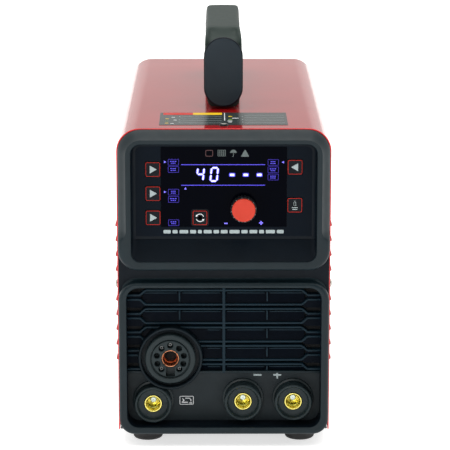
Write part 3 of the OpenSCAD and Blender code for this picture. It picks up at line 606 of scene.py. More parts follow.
def ledge():
    """The sloped shelf under the control panel, with coves where it meets the side walls."""
    flat = 95.2 - COVE
    edge = [flat + COVE * math.sin(math.pi / 2 * i / 7) for i in range(1, 8)]
    across = [-x for x in reversed(edge)] + [flat * (i / 4 - 1) for i in range(9)] + edge
    profile = [(199.4, 1.0), (197.0, -13.2)] + arc((199.2, -12.9), 1.9, 200, 245, 3)
    profile += [(204.0, -10.35), (209.0, -7.0), (214.0, -3.6), (217.6, -1.2), (218.6, -0.7), (219.0, 1.0)]
    rings = []
    for x in across:
        out = max(0.0, abs(x) - flat)
        rise = COVE - math.sqrt(max(0.0, COVE * COVE - out * out))
        rings.append([(x, y - rise * smooth_step(-16, -8, y), z) for z, y in profile])
    return loft(rings)


# The ledge takes the recess's painted shade
piece("bezel_ledge", ledge(), "front_panel", "recess_shade_plastic", smooth=50)

# Control plate behind the overlay, with openings for the buttons, the knob and the window
BUTTONS = ("button_left_top", "button_left_middle", "button_left_lower", "button_select",
           "button_right_top", "button_right_lower")
knob_x, _, knob_z = node_middle("knob_cap")
# The control plate takes the recess's painted shade
plate = piece("control_plate", slab(rect(-90, 90, 203, 318), 0.05, 3), "front_panel", "recess_shade_plastic")
for name in BUTTONS:
    bx, _, bz = node_middle(name)
    side = node_width(name) / 2 + 0.4
    cut(plate, slab(rounded_rect(*around(bx, bz, side), 0.8, 2), -3, 6))
cut(plate, lathe([(5, -3), (5, 6)], (knob_x, knob_z), 32))
low, high = node_box("display_window")
cut(plate, slab(rect(low[0] + 2, high[0] - 20, low[2] + 28, high[2] - 2), -3, 6))


# Grille: five long slots between thin ribs, with slanted slats inside

RIB_FRONT = 2.0
RIB_BACK = 11.0
RIB = 2.3
SLOT_TOP = 163.7
SLOT_PITCH = 19.9
SLOT_H = 15.2
STEP = 5.2                  # how far a rib steps towards the slot's middle at each end
STEP_X = (81.5, 87.0)
GRILLE_END = 100.8
GRILLE_TOP = 171
TORCH = tuple(node_middle("torch_socket_body")[::2])
BOSS_R = 33.5
LIP_Z = 74.5                # lower edge of the grille, above the connector plate


def rib(z, step):
    """A rib along the whole grille, which steps by step between its middle and its two necks."""
    half = [(GRILLE_END, step, 0), (STEP_X[1], step, 3), (STEP_X[0], 0, 5)]
    line = [(-x, z + dz, radius) for x, dz, radius in half]
    line += [(x, z + dz, radius) for x, dz, radius in half[::-1]]
    return soft_slab(band(fillet(line, 4, closed=False), RIB), RIB_FRONT, RIB_BACK, 0.7, 3)


def slat(lower, upper, thick=1.6, half=84):
    """A flat slat from lower = (y, z) to upper = (y, z)."""
    (ya, za), (yb, zb) = lower, upper
    length = math.hypot(yb - ya, zb - za)
    ny, nz = (zb - za) / length * thick, -(yb - ya) / length * thick
    ring = [(ya, za), (yb, zb), (yb + ny, zb + nz), (ya + ny, za + nz)]
    return loft([[(x, y, z) for y, z in ring] for x in (-half, half)])


ribs, slats, fine = [], [], []
for k in range(5):
    top = SLOT_TOP - k * SLOT_PITCH
    low = top - SLOT_H
    ribs.append(rib(top, -STEP))
    foot = (RIB_FRONT + 3.6, LIP_Z)
    if k < 4:
        ribs.append(rib(low, STEP))
        foot = (RIB_FRONT + 2.8, low + 0.6)
    slats.append(slat(foot, (RIB_FRONT + 6.8, top - 3.6)))
    for x in (-46, 45)[k > 1:]:
        fine.append(soft_slab(rect(x - 0.8, x + 0.8, max(low + 3, LIP_Z), top - 2), RIB_FRONT + 1.6,
                              RIB_BACK, 0.4, 2))
    for x0, x1 in ((-83, -48.5), (-43.5, -3.5), (3.5, 42.5), (47.5, 83)):
        x0 = max(x0, -17) if k > 1 else x0       # the torch collar stands in front of the rest
        if x0 < x1:
            fine.append(soft_slab(rect(x0, x1, top - 4.4, top - 3.3), RIB_FRONT + 4.6, RIB_FRONT + 8, 0.3, 2))
ribs.append(soft_slab(rect(-1.6, 1.6, LIP_Z, GRILLE_TOP), RIB_FRONT - 0.05, RIB_BACK, 0.7, 3))
# Painted light and shade: the ribs take a bluer copy of the front's plastic, the slats a near-black one
grille = piece("grille_ribs", join(*ribs), "front_panel", "rib_shading_plastic")
piece("grille_fine_ribs", join(*fine), "front_panel", "rib_shading_plastic")
louvres = piece("grille_slats", join(*slats), "front_panel", "slat_shade_plastic")

# Pockets at the slots' ends: a floor near the front over a dark opening, both in the slats' near-black
# painted shade
pockets = []
for side in (-1, 1):
    for k in range(5):
        top = SLOT_TOP + STEP - k * SLOT_PITCH - SLOT_H        # the neck rib above this pocket
        if k < 4:
            bottom = [(79.5, -4.5), (84.5, -9.2), (GRILLE_END, -9.2), (GRILLE_END, -0.8), (79.5, -0.8)]
            pockets.append(slab([(side * x, top + dz) for x, dz in bottom], RIB_FRONT + 3.4, RIB_BACK))
        pockets.append(slab(rect(side * 86, side * GRILLE_END, top + 0.8, top + 4.2), RIB_FRONT + 3.0,
                            RIB_BACK))
piece("grille_pockets", join(*pockets), "front_panel", "slat_shade_plastic")
# A sheet of near-black painted shade behind the whole grille
piece("grille_back", slab(rect(-GRILLE_END, GRILLE_END, LIP_Z, GRILLE_TOP), RIB_BACK, RIB_BACK + 1.4),
      "front_panel", "pit_shade_and_dark_ink")


# Collar round the torch connector, and the plate below the grille

tx, tz = TORCH
PLATE_Y = 10.0
COLLAR_HOLE = BOSS_R - 1.0
SOCKETS = {side: tuple(node_middle("socket_contact_" + side)[::2]) for side in ("left", "middle", "right")}

collar = [(BOSS_R, 12.0), (BOSS_R, -6.6)] + arc((BOSS_R - 1.5, -6.5), 1.5, 0, -180, 10)
collar += [(BOSS_R - 3.0, -6.4), (BOSS_R - 3.0, 1.2), (20.6, 1.2), (20.6, 12.0)]
# Painted light and shade: the collar is a darker copy of the front's plastic, the connector plate a lighter
# one
piece("torch_collar", lathe(collar, TORCH, 96, closed=True), "front_panel", "collar_shade_plastic")
connector = piece("connector_plate", slab(rect(-101, 101, 20, LIP_Z + 1.6), PLATE_Y, PLATE_Y + 2.6),
                  "front_panel", "plate_shading_plastic")
for place in SOCKETS.values():
    cut(connector, lathe([(12.4, PLATE_Y - 2), (12.4, PLATE_Y + 6)], place, 48))
lip = piece("grille_lip", soft_slab(rect(-100.8, 100.8, LIP_Z, LIP_Z + 2.4), RIB_FRONT, PLATE_Y + 1.0, 0.8),
            "front_panel")
for obj, y0, y1 in ((grille, -2, 20), (louvres, -2, 20), (connector, PLATE_Y - 2, PLATE_Y + 6),
                    (lip, -2, 20)):
    cut(obj, lathe([(COLLAR_HOLE, y0), (COLLAR_HOLE, y1)], TORCH, 96))


# Torch connector

HOLE_RING = 14.4
HOLES = (90, 129, 166, 201, 230, 51, 14, -21, -50)     # directions of the holes on that ring
PINS = (90, 129, 230, -50)                              # the holes that hold a pin


def polar(centre, radius, angle):
    return (centre[0] + radius * math.cos(math.radians(angle)),
            centre[1] + radius * math.sin(math.radians(angle)))


def torch_part(name, profile, count, node="torch_socket_body", material=None):
    return piece(name, lathe(profile, TORCH, count, closed=True), node, material)


body = [(9.15, 3.0), (9.15, -8.2), (9.9, -8.9), (18.2, -8.9)] + arc((18.6, -7.6), 1.3, -90, 0, 5)
body += [(19.9, -6.9), (20.9, -6.9), (20.9, -8.6)] + arc((21.9, -8.7), 1.2, 180, 260, 4)
body += [(24.4, -9.9)] + arc((24.4, -8.1), 1.8, -80, 0, 6) + [(26.2, 3.0)]
torch = torch_part("torch_connector_body", body, 112)
for angle in HOLES:
    cut(torch, lathe([(2.9, 2.0), (2.9, -8.2), (3.5, -9.1), (3.5, -12)], polar(TORCH, HOLE_RING, angle), 28))
cut(torch, slab(rounded_rect(tx - 4.7, tx + 4.7, tz - 19.0, tz - 7, 1.0, 3), -12, -0.6))
# A near-black floor of painted shade at the bottom of the connector's holes
torch_part("torch_connector_floor", [(9.0, 3.4), (9.0, 2.2), (26.0, 2.2), (26.0, 3.4)], 64,
           material="pit_shade_and_dark_ink")
tail = [(10.2, 3.4), (10.2, 34.0), (19.4, 34.0), (20.0, 33.4)]
for turn in range(9):
    tail += [(20.0, 31.4 - turn * 2), (19.3, 30.8 - turn * 2), (20.0, 30.2 - turn * 2)]
torch_part("torch_connector_tail", tail + [(20.0, 3.4)], 64)

tube = arc((8.6, -6.6), 0.4, 0, -90, 3) + [(8.45, -7.0)] + arc((8.45, -6.7), 0.3, -90, -180, 3)
tube += [(8.1, -5.8), (7.5, -4.6), (7.5, 4.0), (6.9, 4.6), (6.9, 16.0), (3.0, 16.0), (3.0, 60.0), (6.0, 60.0),
         (6.0, 42.0), (9.0, 42.0), (9.0, -6.4)]
contact = torch_part("torch_gas_contact", tube, 72, "torch_socket_contact")
for angle in (45, 135):
    cut(contact, turned(slab(rect(*around(tx, tz, 12, 0.45)), -9, 3.4), angle, TORCH))

pin = [(1.05, 1.6), (1.05, -4.5), (1.2, -4.8), (1.55, -4.8), (1.7, -4.5), (1.7, 2.2), (1.25, 2.4),
       (1.25, 7.6), (0.2, 7.8), (0.2, 1.6)]
pins = [lathe(pin, polar(TORCH, HOLE_RING, angle), 24, closed=True) for angle in PINS]
piece("torch_signal_pins", join(*pins), "torch_socket_pins")


# Work-cable sockets

def cable_socket(side, at):
    x, z = at
    body = [(9.15, 27.5), (9.15, -1.2), (9.7, -2.1), (14.6, -2.1), (15.4, -2.6), (15.9, -3.6), (16.4, -6.6)]
    body += arc((17.9, -6.6), 1.5, 180, 360, 10) + [(19.2, -6.4), (19.2, 7.0), (19.5, 7.7), (20.6, 8.0)]
    body += [(21.3, 8.2), (21.8, 8.8), (21.8, 10.0), (12.0, 10.0), (12.0, 27.5)]
    piece("cable_socket_" + side, lathe(body, at, 80, closed=True), "socket_body_" + side)
    mark = soft_slab(rect(x - 0.35, x + 0.35, z + 11.0, z + 13.6), -2.6, -1.8, 0.15, 2)
    piece("cable_socket_marks_" + side, join(*[turned(mark, 30 + 120 * k, at) for k in range(3)]),
          "socket_body_" + side)
    # Three shallow rings of thread behind a rounded lip, and the blind bore that takes the plug
    brass = [(6.6, 19.0), (6.6, 2.6), (7.0, 1.9), (6.6, 1.35), (7.0, 0.8), (6.6, 0.25), (7.0, -0.3)]
    brass += [(6.6, -0.85), (6.9, -1.6), (7.9, -2.8)] + arc((8.6, -2.5), 0.45, -90, 0, 3)
    brass += [(9.0, 26.0), (5.0, 26.0), (5.0, 43.4), (4.4, 44.0), (0.3, 44.0), (0.3, 19.0)]
    contact = piece("cable_contact_" + side, lathe(brass, at, 72, closed=True), "socket_contact_" + side)
    # The bayonet's lead-in slot, which lets the plug's key past the thread
    cut(contact, slab(rect(x - 1.3, x + 1.3, z + 5, z + 8), -4, 9))
    stop = [(0.3, 11.2), (2.6, 11.2), (3.3, 11.8), (3.6, 13.6), (3.6, 18.9), (0.3, 18.9)]
    piece("cable_contact_stop_" + side, lathe(stop, at, 40, closed=True), "socket_contact_" + side,
          "socket_steel", slot="bright_steel")


for side, place in SOCKETS.items():
    cable_socket(side, place)


# Raised marks and a printed symbol on the connector plate

polarity = [bar(31.2, 39.6, 69.3, 71.2, PLATE_Y, 0.3, 0.4), bar(51.8, 60.2, 69.3, 71.2, PLATE_Y, 0.3, 0.4),
            bar(55.1, 56.9, 66.2, 73.6, PLATE_Y, 0.32, 0.4)]
piece("polarity_marks", join(*polarity), "front_panel", "grey_ink")
badge = [outline_box(-46.4, -31.7, 37.9, 47.2, 0.55, PLATE_Y, 0.16)]
for width, points in ((0.8, [(-44.2, 40.4), (-37.6, 40.4)]),
                      (0.7, [(-40.4, 44.9), (-36.2, 44.9), (-34.6, 43.4), (-34.6, 41.4)]),
                      (0.7, [(-43.6, 44.6), (-41.6, 42.6), (-43.6, 40.9)]),
                      (0.8, [(-36.2, 39.6), (-33.4, 39.6)])):
    badge.append(stroke(points, width, PLATE_Y, 0.16))
piece("work_clamp_badge", join(*badge), "front_panel", "white_ink")


# Controls: printed marks lie on the overlay and the window, and on each button

OVERLAY_Y = node_box("control_overlay")[0][1]
WINDOW_Y = node_box("display_window")[0][1]
PRINT = 0.05                # how far a printed mark stands proud
BUTTON_FLANGE = 1.4         # how far a button's hidden flange reaches past its cap


def printed(outline, y=WINDOW_Y, proud=PRINT):
    return slab(outline, y - proud, y + 0.2)


def push_button(name, symbol, symbol_ink="grey_ink"):
    """A square cap with a thin red line round it, a dished face, and a printed symbol."""
    bx, _, bz = node_middle(name)
    half = node_width(name) / 2 - BUTTON_FLANGE
    front = node_box(name)[0][1]
    outline = rounded_rect(*around(bx, bz, half), 1.5, 4)
    rings = [[(x, 3.2, z) for x, z in outline]]
    for inset, rise in ((0, 0.5), (0.12, 0.2), (0.45, 0), (1.0, 0), (1.5, 0.16), (3.2, 0.26), (5.6, 0.3)):
        rings.append([(x, front + rise, z) for x, z in shrunk(outline, inset)])
    flange = slab(rounded_rect(*around(bx, bz, half + BUTTON_FLANGE), 1.0, 2), 3.3, 4.4)
    stem = lathe([(2.5, 4.4), (2.5, 7.3)], (bx, bz), 20)
    piece(name + "_cap", join(loft(rings), flange, stem), name)
    piece(name + "_outline", outline_box(*around(bx, bz, half - 0.15), 0.42, front + 0.1, PRINT + 0.07, 1.4),
          name, "red_ink")
    marks = [slab([(bx + x, bz + z) for x, z in outline], front + 0.3 - PRINT * 2, front + 0.5)
             for outline in symbol]
    piece(name + "_symbol", join(*marks), name, symbol_ink)


def arrow_loop(start, outer=4.3, inner=3.6, reach=118):
    """Half of a pair of circling arrows: a curved line and its head."""
    line = arc((0, 0), outer, start, start + reach, 9) + arc((0, 0), inner, start + reach, start, 9)
    tip = math.radians(start + reach)
    across = Vector((math.cos(tip), math.sin(tip)))
    ahead = Vector((-math.sin(tip), math.cos(tip)))
    centre = across * (outer + inner) / 2
    return [line, [tuple(centre - across * 1.2), tuple(centre + across * 1.2), tuple(centre + ahead * 2.2)]]


RIGHT_ARROW = [[(-3.1, -4.1), (4.0, 0), (-3.1, 4.1)]]
LEFT_ARROW = [[(3.1, -4.1), (3.1, 4.1), (-4.0, 0)]]
BOTTLE = [band([(0.45, 4.6), (0.45, 3.5), (1.1, 2.7), (1.1, -0.5), (-1.1, -0.5), (-1.1, 2.7), (-0.45, 3.5),
                (-0.45, 4.6)], 0.35), rect(-3.0, 3.0, -3.0, -2.2), rect(-2.4, 2.4, -4.9, -4.1)]
for name in BUTTONS[:3]:
    push_button(name, RIGHT_ARROW)
push_button("button_select", arrow_loop(20) + arrow_loop(200), "white_ink")
push_button("button_right_top", LEFT_ARROW)
push_button("button_right_lower", BOTTLE)


# Display: two lit figures, three dashes and two thin lines on the window

def figure(segments, x0, x1, z0, z1, line, lean=0.10):
    """One seven-segment figure, leaning a little, as outlines."""
    mid = (z0 + z1) / 2
    gap = 0.42 if line < 2 else 0.0
    cells = {"a": ((x0, z1), (x1, z1)), "d": ((x0, z0), (x1, z0)), "g": ((x0, mid), (x1, mid)),
             "f": ((x0, mid), (x0, z1)), "b": ((x1, mid), (x1, z1)),
             "e": ((x0, z0), (x0, mid)), "c": ((x1, z0), (x1, mid))}
    outlines = []
    for key in segments:
        start, end = Vector(cells[key][0]), Vector(cells[key][1])
        along = (end - start).normalized()
        across = Vector((-along.y, along.x)) * (line / 2)
        first, last = start + along * gap, end - along * gap
        nib = along * (line / 2)
        shape = (first, first + nib - across, last - nib - across, last, last - nib + across,
                 first + nib + across)
        outlines.append([(p.x + (p.y - z0) * lean, p.y) for p in shape])
    return outlines


for name, material, proud, line, margin in (("display_glow", "segment_glow", 0.03, 2.9, 0.8),
                                            ("display_figures", "lit_segment", PRINT, 1.45, 0.0)):
    shapes = figure("bcfg", -27.8, -21.4, 280.6, 293.6, line)
    shapes += figure("abcdef", -13.8, -7.2, 280.0, 293.9, line)
    shapes += [rounded_rect(*around(x, 286.5, 2.3 + margin, 1.2 + margin), 0.9, 3) for x in (8.5, 22.4, 36.4)]
    piece(name, join(*[printed(outline, proud=proud) for outline in shapes]), material=material,
          slot="display")
piece("display_lines", join(*[printed(rect(-43.7, 42.2, z - 0.35, z + 0.35)) for z in (297.1, 275.7)]),
      material="lit_line", slot="display")

# Small tags beside the display: a violet outline with two rows of bars in place of lettering
chips, chip_bars = [], []
TAGS = [(-51.5, z) for z in (299.7, 292.2, 268.5, 260.8, 236.4)] + [(50.5, z) for z in (299.4, 291.8, 284.2)]
for i, (x, z) in enumerate(TAGS):
    chips.append(outline_box(*around(x, z, 5.6, 3.3), 0.5, WINDOW_Y, PRINT, 0.7))
    for row, reach in ((0.9, 3.6 - 0.5 * (i % 3)), (-1.0, 2.5 + 0.4 * (i % 2))):
        for k in range(3):
            step = reach * 2 / 3
            left = x - reach + k * step
            chip_bars.append(printed(rounded_rect(left, left + step * 0.72, z + row - 0.45, z + row + 0.45,
                                                  0.2, 1)))
piece("tag_outlines", join(*chips), material="violet_ink", slot="window")
piece("tag_bars", join(*chip_bars), material="lit_line", slot="window")

marks = [turned(printed([(x - 1.2, z - 1.2), (x + 1.2, z), (x - 1.2, z + 1.2)]), angle, (x, z))
         for x, z, angle in ((-59.9, 300.0, 0), (-60.1, 268.7, 0), (-39.3, 272.5, 90), (60.3, 299.6, 180))]
marks += [bar(0.4, 3.8, 235.0, 236.2, WINDOW_Y, PRINT, 0.1),
          bar(36.2, 40.2, 235.5, 236.7, WINDOW_Y, PRINT, 0.1),
          bar(37.6, 38.8, 234.1, 238.1, WINDOW_Y, PRINT * 1.2, 0.1)]
piece("window_marks", join(*marks), material="lit_mark", slot="window")

# Status symbols over the display: a lattice, an umbrella, a triangle and a box
icons = [stroke([(-6.2, z), (1.8, z)], 0.5, WINDOW_Y, PRINT) for z in (306.2, 308.2, 310.2, 312.2)]
icons += [stroke([(x, 306.0), (x, 312.4)], 0.5, WINDOW_Y, PRINT * 1.2) for x in (-6.0, -4.1, -2.2, -0.3, 1.6)]
icons += [printed(arc((9.8, 309.4), 3.3, 0, 180, 10)),
          stroke([(9.8, 310), (9.8, 306.0), (8.6, 305.4)], 0.5, WINDOW_Y, PRINT),
          printed(fillet([(17.3, 305.4, 0.6), (26.1, 305.4, 0.6), (21.7, 313.2, 0.6)], 3))]
piece("status_symbols", join(*icons), material="dim_ink", slot="window")
piece("fault_symbol", outline_box(-18.8, -11.0, 305.6, 312.4, 0.7, WINDOW_Y, PRINT, 1.4),
      material="dim_red_ink", slot="window")
piece("select_surround", outline_box(-33.6, -15.4, 232.7, 250.5, 1.1, WINDOW_Y, PRINT, 2.6),
      material="button_plastic", slot="window")

# A row of plain bars along the overlay's lower edge
strip = []
x = -62.0
for length in (7.4, 5.2, 9.0, 6.2, 4.0, 8.2, 5.6, 7.0, 10.4, 6.4, 8.0, 5.0, 9.4, 7.0):
    strip.append(printed(rounded_rect(x, x + length, 225.0, 228.6, 0.7, 2), OVERLAY_Y))
    x += length + 1.9
piece("overlay_bars", join(*strip), material="grey_ink", slot="overlay")


# Knob: a fluted black body with a smooth orange cap let into its face

KNOB = (knob_x, knob_z)
KNOB_R = 13.4
FLUTES = 24
CAP_R = node_width("knob_cap") / 2
(_, CAP_FACE, _), (_, CAP_SEAT, _) = node_box("knob_cap")
skirt = []
for scale, y in ((0.86, -1.7), (0.985, -1.7), (1.0, -2.2), (1.0, CAP_SEAT - 0.3), (0.985, CAP_SEAT - 0.8),
                 (0.95, CAP_SEAT - 1.0), (0.912, CAP_SEAT - 0.9), (0.905, CAP_SEAT), (0.86, CAP_SEAT)):
    ring = []
    for k in range(FLUTES * 8):
        angle = 2 * math.pi * k / (FLUTES * 8)
        groove = max(0.0, math.cos(angle * FLUTES)) ** 3 * (0.8 if scale > 0.95 else 0.0)
        radius = (KNOB_R - groove) * scale
        ring.append((knob_x + radius * math.cos(angle), y, knob_z + radius * math.sin(angle)))
    skirt.append(ring)
for radius, y in ((3.02, CAP_SEAT), (3.02, -5.4), (11.4, -5.4)):
    skirt.append([(x, y, z) for x, z in circle(KNOB, radius, FLUTES * 8)])
piece("knob_skirt", loft(skirt, closed=True), "knob_body")
cap = [(CAP_R, CAP_SEAT), (CAP_R, CAP_FACE + 1.0)] + arc((CAP_R - 0.9, CAP_FACE + 0.9), 0.9, -10, -85, 5)
cap += [(radius, CAP_FACE + rise) for radius, rise in
        ((10.4, 0.04), (9.4, 0.16), (6.6, 0.34), (3.4, 0.42), (0.4, 0.44))]
piece("knob_top", lathe(cap, KNOB, 96), "knob_cap")
# Pale index marks moulded on the body's shoulder
tick = slab(rounded_rect(*around(knob_x + 12.5, knob_z, 0.25, 0.3), 0.15, 2), CAP_SEAT - 1.04, CAP_SEAT - 0.5)
piece("knob_ticks", join(*[turned(tick, 360 * (k + 0.5) / FLUTES, KNOB) for k in range(0, FLUTES, 2)]),
      material="grey_ink", slot="black_plastic", body="knob")


# Case: the folded red cover with its pressed louvres, the tray, the feet and the screws

CASE_HALF = 110.0
CORNER_R = 24.0
SHEET = 1.2
(_, _, COVER_Z0), (_, COVER_LEN, CASE_TOP) = node_box("cover")
LOUVRE_LEN = 58.0
LOUVRE_Z = [225.8 - 16.07 * i for i in range(10) if i != 4]
LOUVRES = {y: LOUVRE_Z for y in (40, 120, 340)}
SCREW_Z = 167.0


def cover_sheet(edge=0.35):
    """The folded sheet: an upside-down U whose cut ends are drawn in by edge on the outside."""
    corner_x, corner_z = CASE_HALF - CORNER_R, CASE_TOP - CORNER_R
    outer = [(CASE_HALF, COVER_Z0 + 0.4)] + arc((corner_x, corner_z), CORNER_R, 0, 90, 14)
    outer += [(x, CASE_TOP) for x in (60, 30, 0, -30, -60)]
    outer += arc((-corner_x, corner_z), CORNER_R, 90, 180, 14)
    outer += [(-CASE_HALF, COVER_Z0 + 0.4), (-CASE_HALF + 0.4, COVER_Z0)]
    inner = [(-CASE_HALF + SHEET, COVER_Z0)] + arc((-corner_x, corner_z), CORNER_R - SHEET, 180, 90, 14)
    inner += arc((corner_x, corner_z), CORNER_R - SHEET, 90, 0, 14)
    inner += [(CASE_HALF - SHEET, COVER_Z0), (CASE_HALF - 0.4, COVER_Z0)]
    ends = []
    for x, z in outer:
        out = Vector((x - max(-corner_x, min(corner_x, x)), max(0.0, z - corner_z))).normalized() * edge
        ends.append((x - out.x, z - out.y))
    whole, drawn_in = outer + inner, ends + inner
    return loft([[(x, y, z) for x, z in section] for section, y in
                 ((drawn_in, 0.0), (whole, edge), (whole, COVER_LEN * 0.25), (whole, COVER_LEN * 0.5),
                  (whole, COVER_LEN * 0.75), (whole, COVER_LEN - edge), (drawn_in, COVER_LEN))])


def louvre(y0, z, side):
    """One pressed hood: it swells out of the sheet and opens downwards."""
    rows, columns = 8, 24
    height, proud, wall = 9.0, 4.0, 0.9
    rings = []
    for i in range(rows + 1):
        t = i / rows                     # 0 at the mouth, 1 at the top of the hood
        outer, inner = [], []
        for k in range(columns + 1):
            u = k / columns
            reach = min(u, 1 - u) * LOUVRE_LEN / 5.5
            ends = math.sqrt(max(0.0, 1 - (1 - min(1.0, reach)) ** 2))
            swell = proud * math.cos(t * math.pi / 2) ** 0.85 * ends
            y, height_here = y0 + u * LOUVRE_LEN, z - 3.0 + t * height
            outer.append((side * (CASE_HALF - 0.15 + swell), y, height_here))
            inner.append((side * (CASE_HALF - 0.15 + max(-0.3, swell - wall)), y, height_here))
        rings.append(outer + inner[::-1])
    return loft(rings)


cover = piece("cover_shell", cover_sheet(), "cover", smooth=25)
slots = [loft([[(side * x, a, b) for a, b in rect(y + 2.4, y + LOUVRE_LEN - 2.4, z - 2.6, z + 1.2)]
               for x in (CASE_HALF - 3, CASE_HALF + 2)])
         for y in LOUVRES for z in LOUVRE_Z for side in (-1, 1)]
cut(cover, join(*slots), 25)
recolour(cover, "red_edge_highlight", lambda x, y, z: y < 0.4)     # painted highlight: the cut edge is painted a brighter red
for i, y in enumerate(LOUVRES):
    for side, word in ((1, "right"), (-1, "left")):
        piece(f"cover_louvres_{word}_{i + 1}", join(*[louvre(y, z, side) for z in LOUVRE_Z]), "cover",
              smooth=50)


# Screws: each shape is made about the Y axis, then sent to its place by one of these

def sideways(side, y):
    """To a screw in one side of the cover, facing out."""
    return lambda shape: changed(shape, lambda vx, vy, vz: (side * (CASE_HALF - vy), y + vx * side,
                                                            SCREW_Z + vz))


def upwards(y, z):
    return lambda shape: changed(shape, lambda vx, vy, vz: (vx, y + vz, z - vy))


def backwards(x, y, z):
    return lambda shape: changed(shape, lambda vx, vy, vz: (x - vx, y - vy, z + vz))


def pan_screw(radius, height):
    """A pan-head screw's head about the Y axis, its face towards -Y."""
    profile = [(radius, 0.0), (radius, -height * 0.35)]
    profile += [(radius * math.cos(t), -height * 0.35 - height * 0.65 * math.sin(t))
                for t in (0.35, 0.7, 1.0, 1.25, 1.42)]
    return lathe(profile + [(0.12 * radius, -height)], (0, 0), 32)


def cross_recess(obj, places, depth, arm, width):
    """Cuts a cross into each screw head."""
    for place in places:
        for angle in (45, 135):
            arms = slab(rect(-arm, arm, -width / 2, width / 2), -6, -depth)
            cut(obj, place(turned(arms, angle, (0, 0))), 40)


def shank(radius, y1):
    return lathe([(radius, 0), (radius, y1)], (0, 0), 16)


top_y = node_middle("cup_washer")[1]
sides = [sideways(side, y) for side in (-1, 1) for y in (20.0, COVER_LEN - 20.0)]
on_top = upwards(top_y, CASE_TOP + 1.3)
parts = [place(pan_screw(4.2, 3.0)) for place in sides] + [place(shank(1.65, 9)) for place in sides]
parts += [on_top(pan_screw(3.1, 1.3)), upwards(top_y, CASE_TOP + 1.6)(shank(1.65, 15))]
screws = piece("cover_screw_set", join(*parts), "cover_screws", smooth=40)
cross_recess(screws, sides, 1.4, 2.2, 0.85)
cross_recess(screws, [on_top], 0.5, 1.7, 0.7)
washer = [(2.0, 0), (4.7, 0), (4.7, 0.4), (4.5, 0.9), (4.1, 1.8), (3.95, 2.15), (3.75, 2.2), (3.6, 2.0),
          (3.45, 1.62), (2.0, 1.55)]
piece("top_cup_washer", upright([(radius, CASE_TOP + z) for radius, z in washer], 0, top_y, closed=True),
      "cup_washer")

# Rubber feet: tapered, with a rounded tread edge, a moulded rib and a recess for the screw
FOOT_H = 12.0
FEET = [(side * 80, y) for side in (-1, 1) for y in (20.0, COVER_LEN - 20.0)]
foot = [(2.2, FOOT_H), (2.2, 5.0), (5.0, 5.0), (5.0, 0.5), (5.5, 0.0), (13.2, 0.0), (14.3, 0.35),
        (15.1, 1.1), (15.5, 2.2), (15.45, 3.4), (15.1, 3.9), (15.1, 4.5), (15.35, 5.0),
        (14.6, 10.8), (14.2, 11.6), (13.6, FOOT_H)]
piece("rubber_feet", join(*[upright(foot, x, y, 56, closed=True) for x, y in FEET]), "feet", smooth=40)


def tray():
    """The black floor pan: a sheet whose four edges are folded up."""
    (x0, y0, z0), (x1, y1, z1) = node_box("base_tray")
    section = [(x0 + 1.2, z0), (x1 - 1.2, z0), (x1 - 0.35, z0 + 0.35), (x1, z0 + 1.2), (x1, z1),
               (x1 - 1.2, z1), (x1 - 1.2, z0 + 1.2), (x0 + 1.2, z0 + 1.2), (x0 + 1.2, z1), (x0, z1),
               (x0, z0 + 1.2), (x0 + 0.35, z0 + 0.35)]
    front, back = 14.0, COVER_LEN - 14.0
    shapes = [loft([[(x, y, z) for x, z in section] for y in (front, COVER_LEN / 2, back)])]
    for low, high, bottom, top, inset in ((y0, front, 0, 1.2, 0), (back, y1, 0, 1.2, 0),
                                          (front, front + 1.2, 1.2, 5, 1.4), (back - 1.2, back, 1.2, 5, 1.4)):
        shapes.append(loft([[(x, y, z) for y, z in rect(low, high, z0 + bottom, z0 + top)]
                            for x in (x0 + inset, x1 - inset)]))
    return join(*shapes)


base = piece("floor_pan", tray(), "base_tray", smooth=30)
for x, y in FEET:
    cut(base, upright([(2.2, FOOT_H - 2), (2.2, FOOT_H + 4)], x, y, 24))


# Top label: a dark foil with plain bars, thin rules and small blocks

LABEL_Z = node_box("top_label")[1][2]


def label_marks(name, material, *blocks):
    """Printed blocks on the top label, each given as x0, x1, y0, y1."""
    piece(name, join(*[loft([[(x, y, z) for x, y in rect(*block)] for z in (LABEL_Z - 0.1, LABEL_Z + 0.05)])
                       for block in blocks]), material=material, slot="label_grey")


label_marks("label_red_bar", "red_ink", (-63.3, -32.0, 77.5, 90.0))
label_marks("label_yellow_bar", "yellow_ink", (-32.0, -1.6, 77.5, 90.0))
label_marks("label_white_marks", "white_ink", (0.6, 1.5, 44, 89.5),
            *[(x, x + 3.4, y, y + 2.0) for x, y in ((-54.5, 62), (-52.0, 46), (-54.8, 26), (5, 34))],
            (9, 15.5, 56, 59), (4, 9, 40, 42.5))
label_marks("label_yellow_marks", "yellow_ink", (-60.5, -57.0, 53, 55.5), (-60.5, -57.0, 28, 30.5),
            (5, 9, 66, 70))
label_marks("label_green_marks", "green_ink", (5, 9, 47, 52), (-60.5, -57, 40, 42))
label_marks("label_rules", "grey_ink", *[(-46, -2, y, y + 0.5) for y in (30, 43, 56, 68)],
            *[(22, 63, y, y + 0.5) for y in (30, 46, 60, 74)],
            *[(x, x + 1.2, y, y + 1.5) for x in (-46.4, 19.0) for y in (34, 48, 66)])


# Handle: one moulding that rises behind its front cap, with a scoop between the cap and the grip

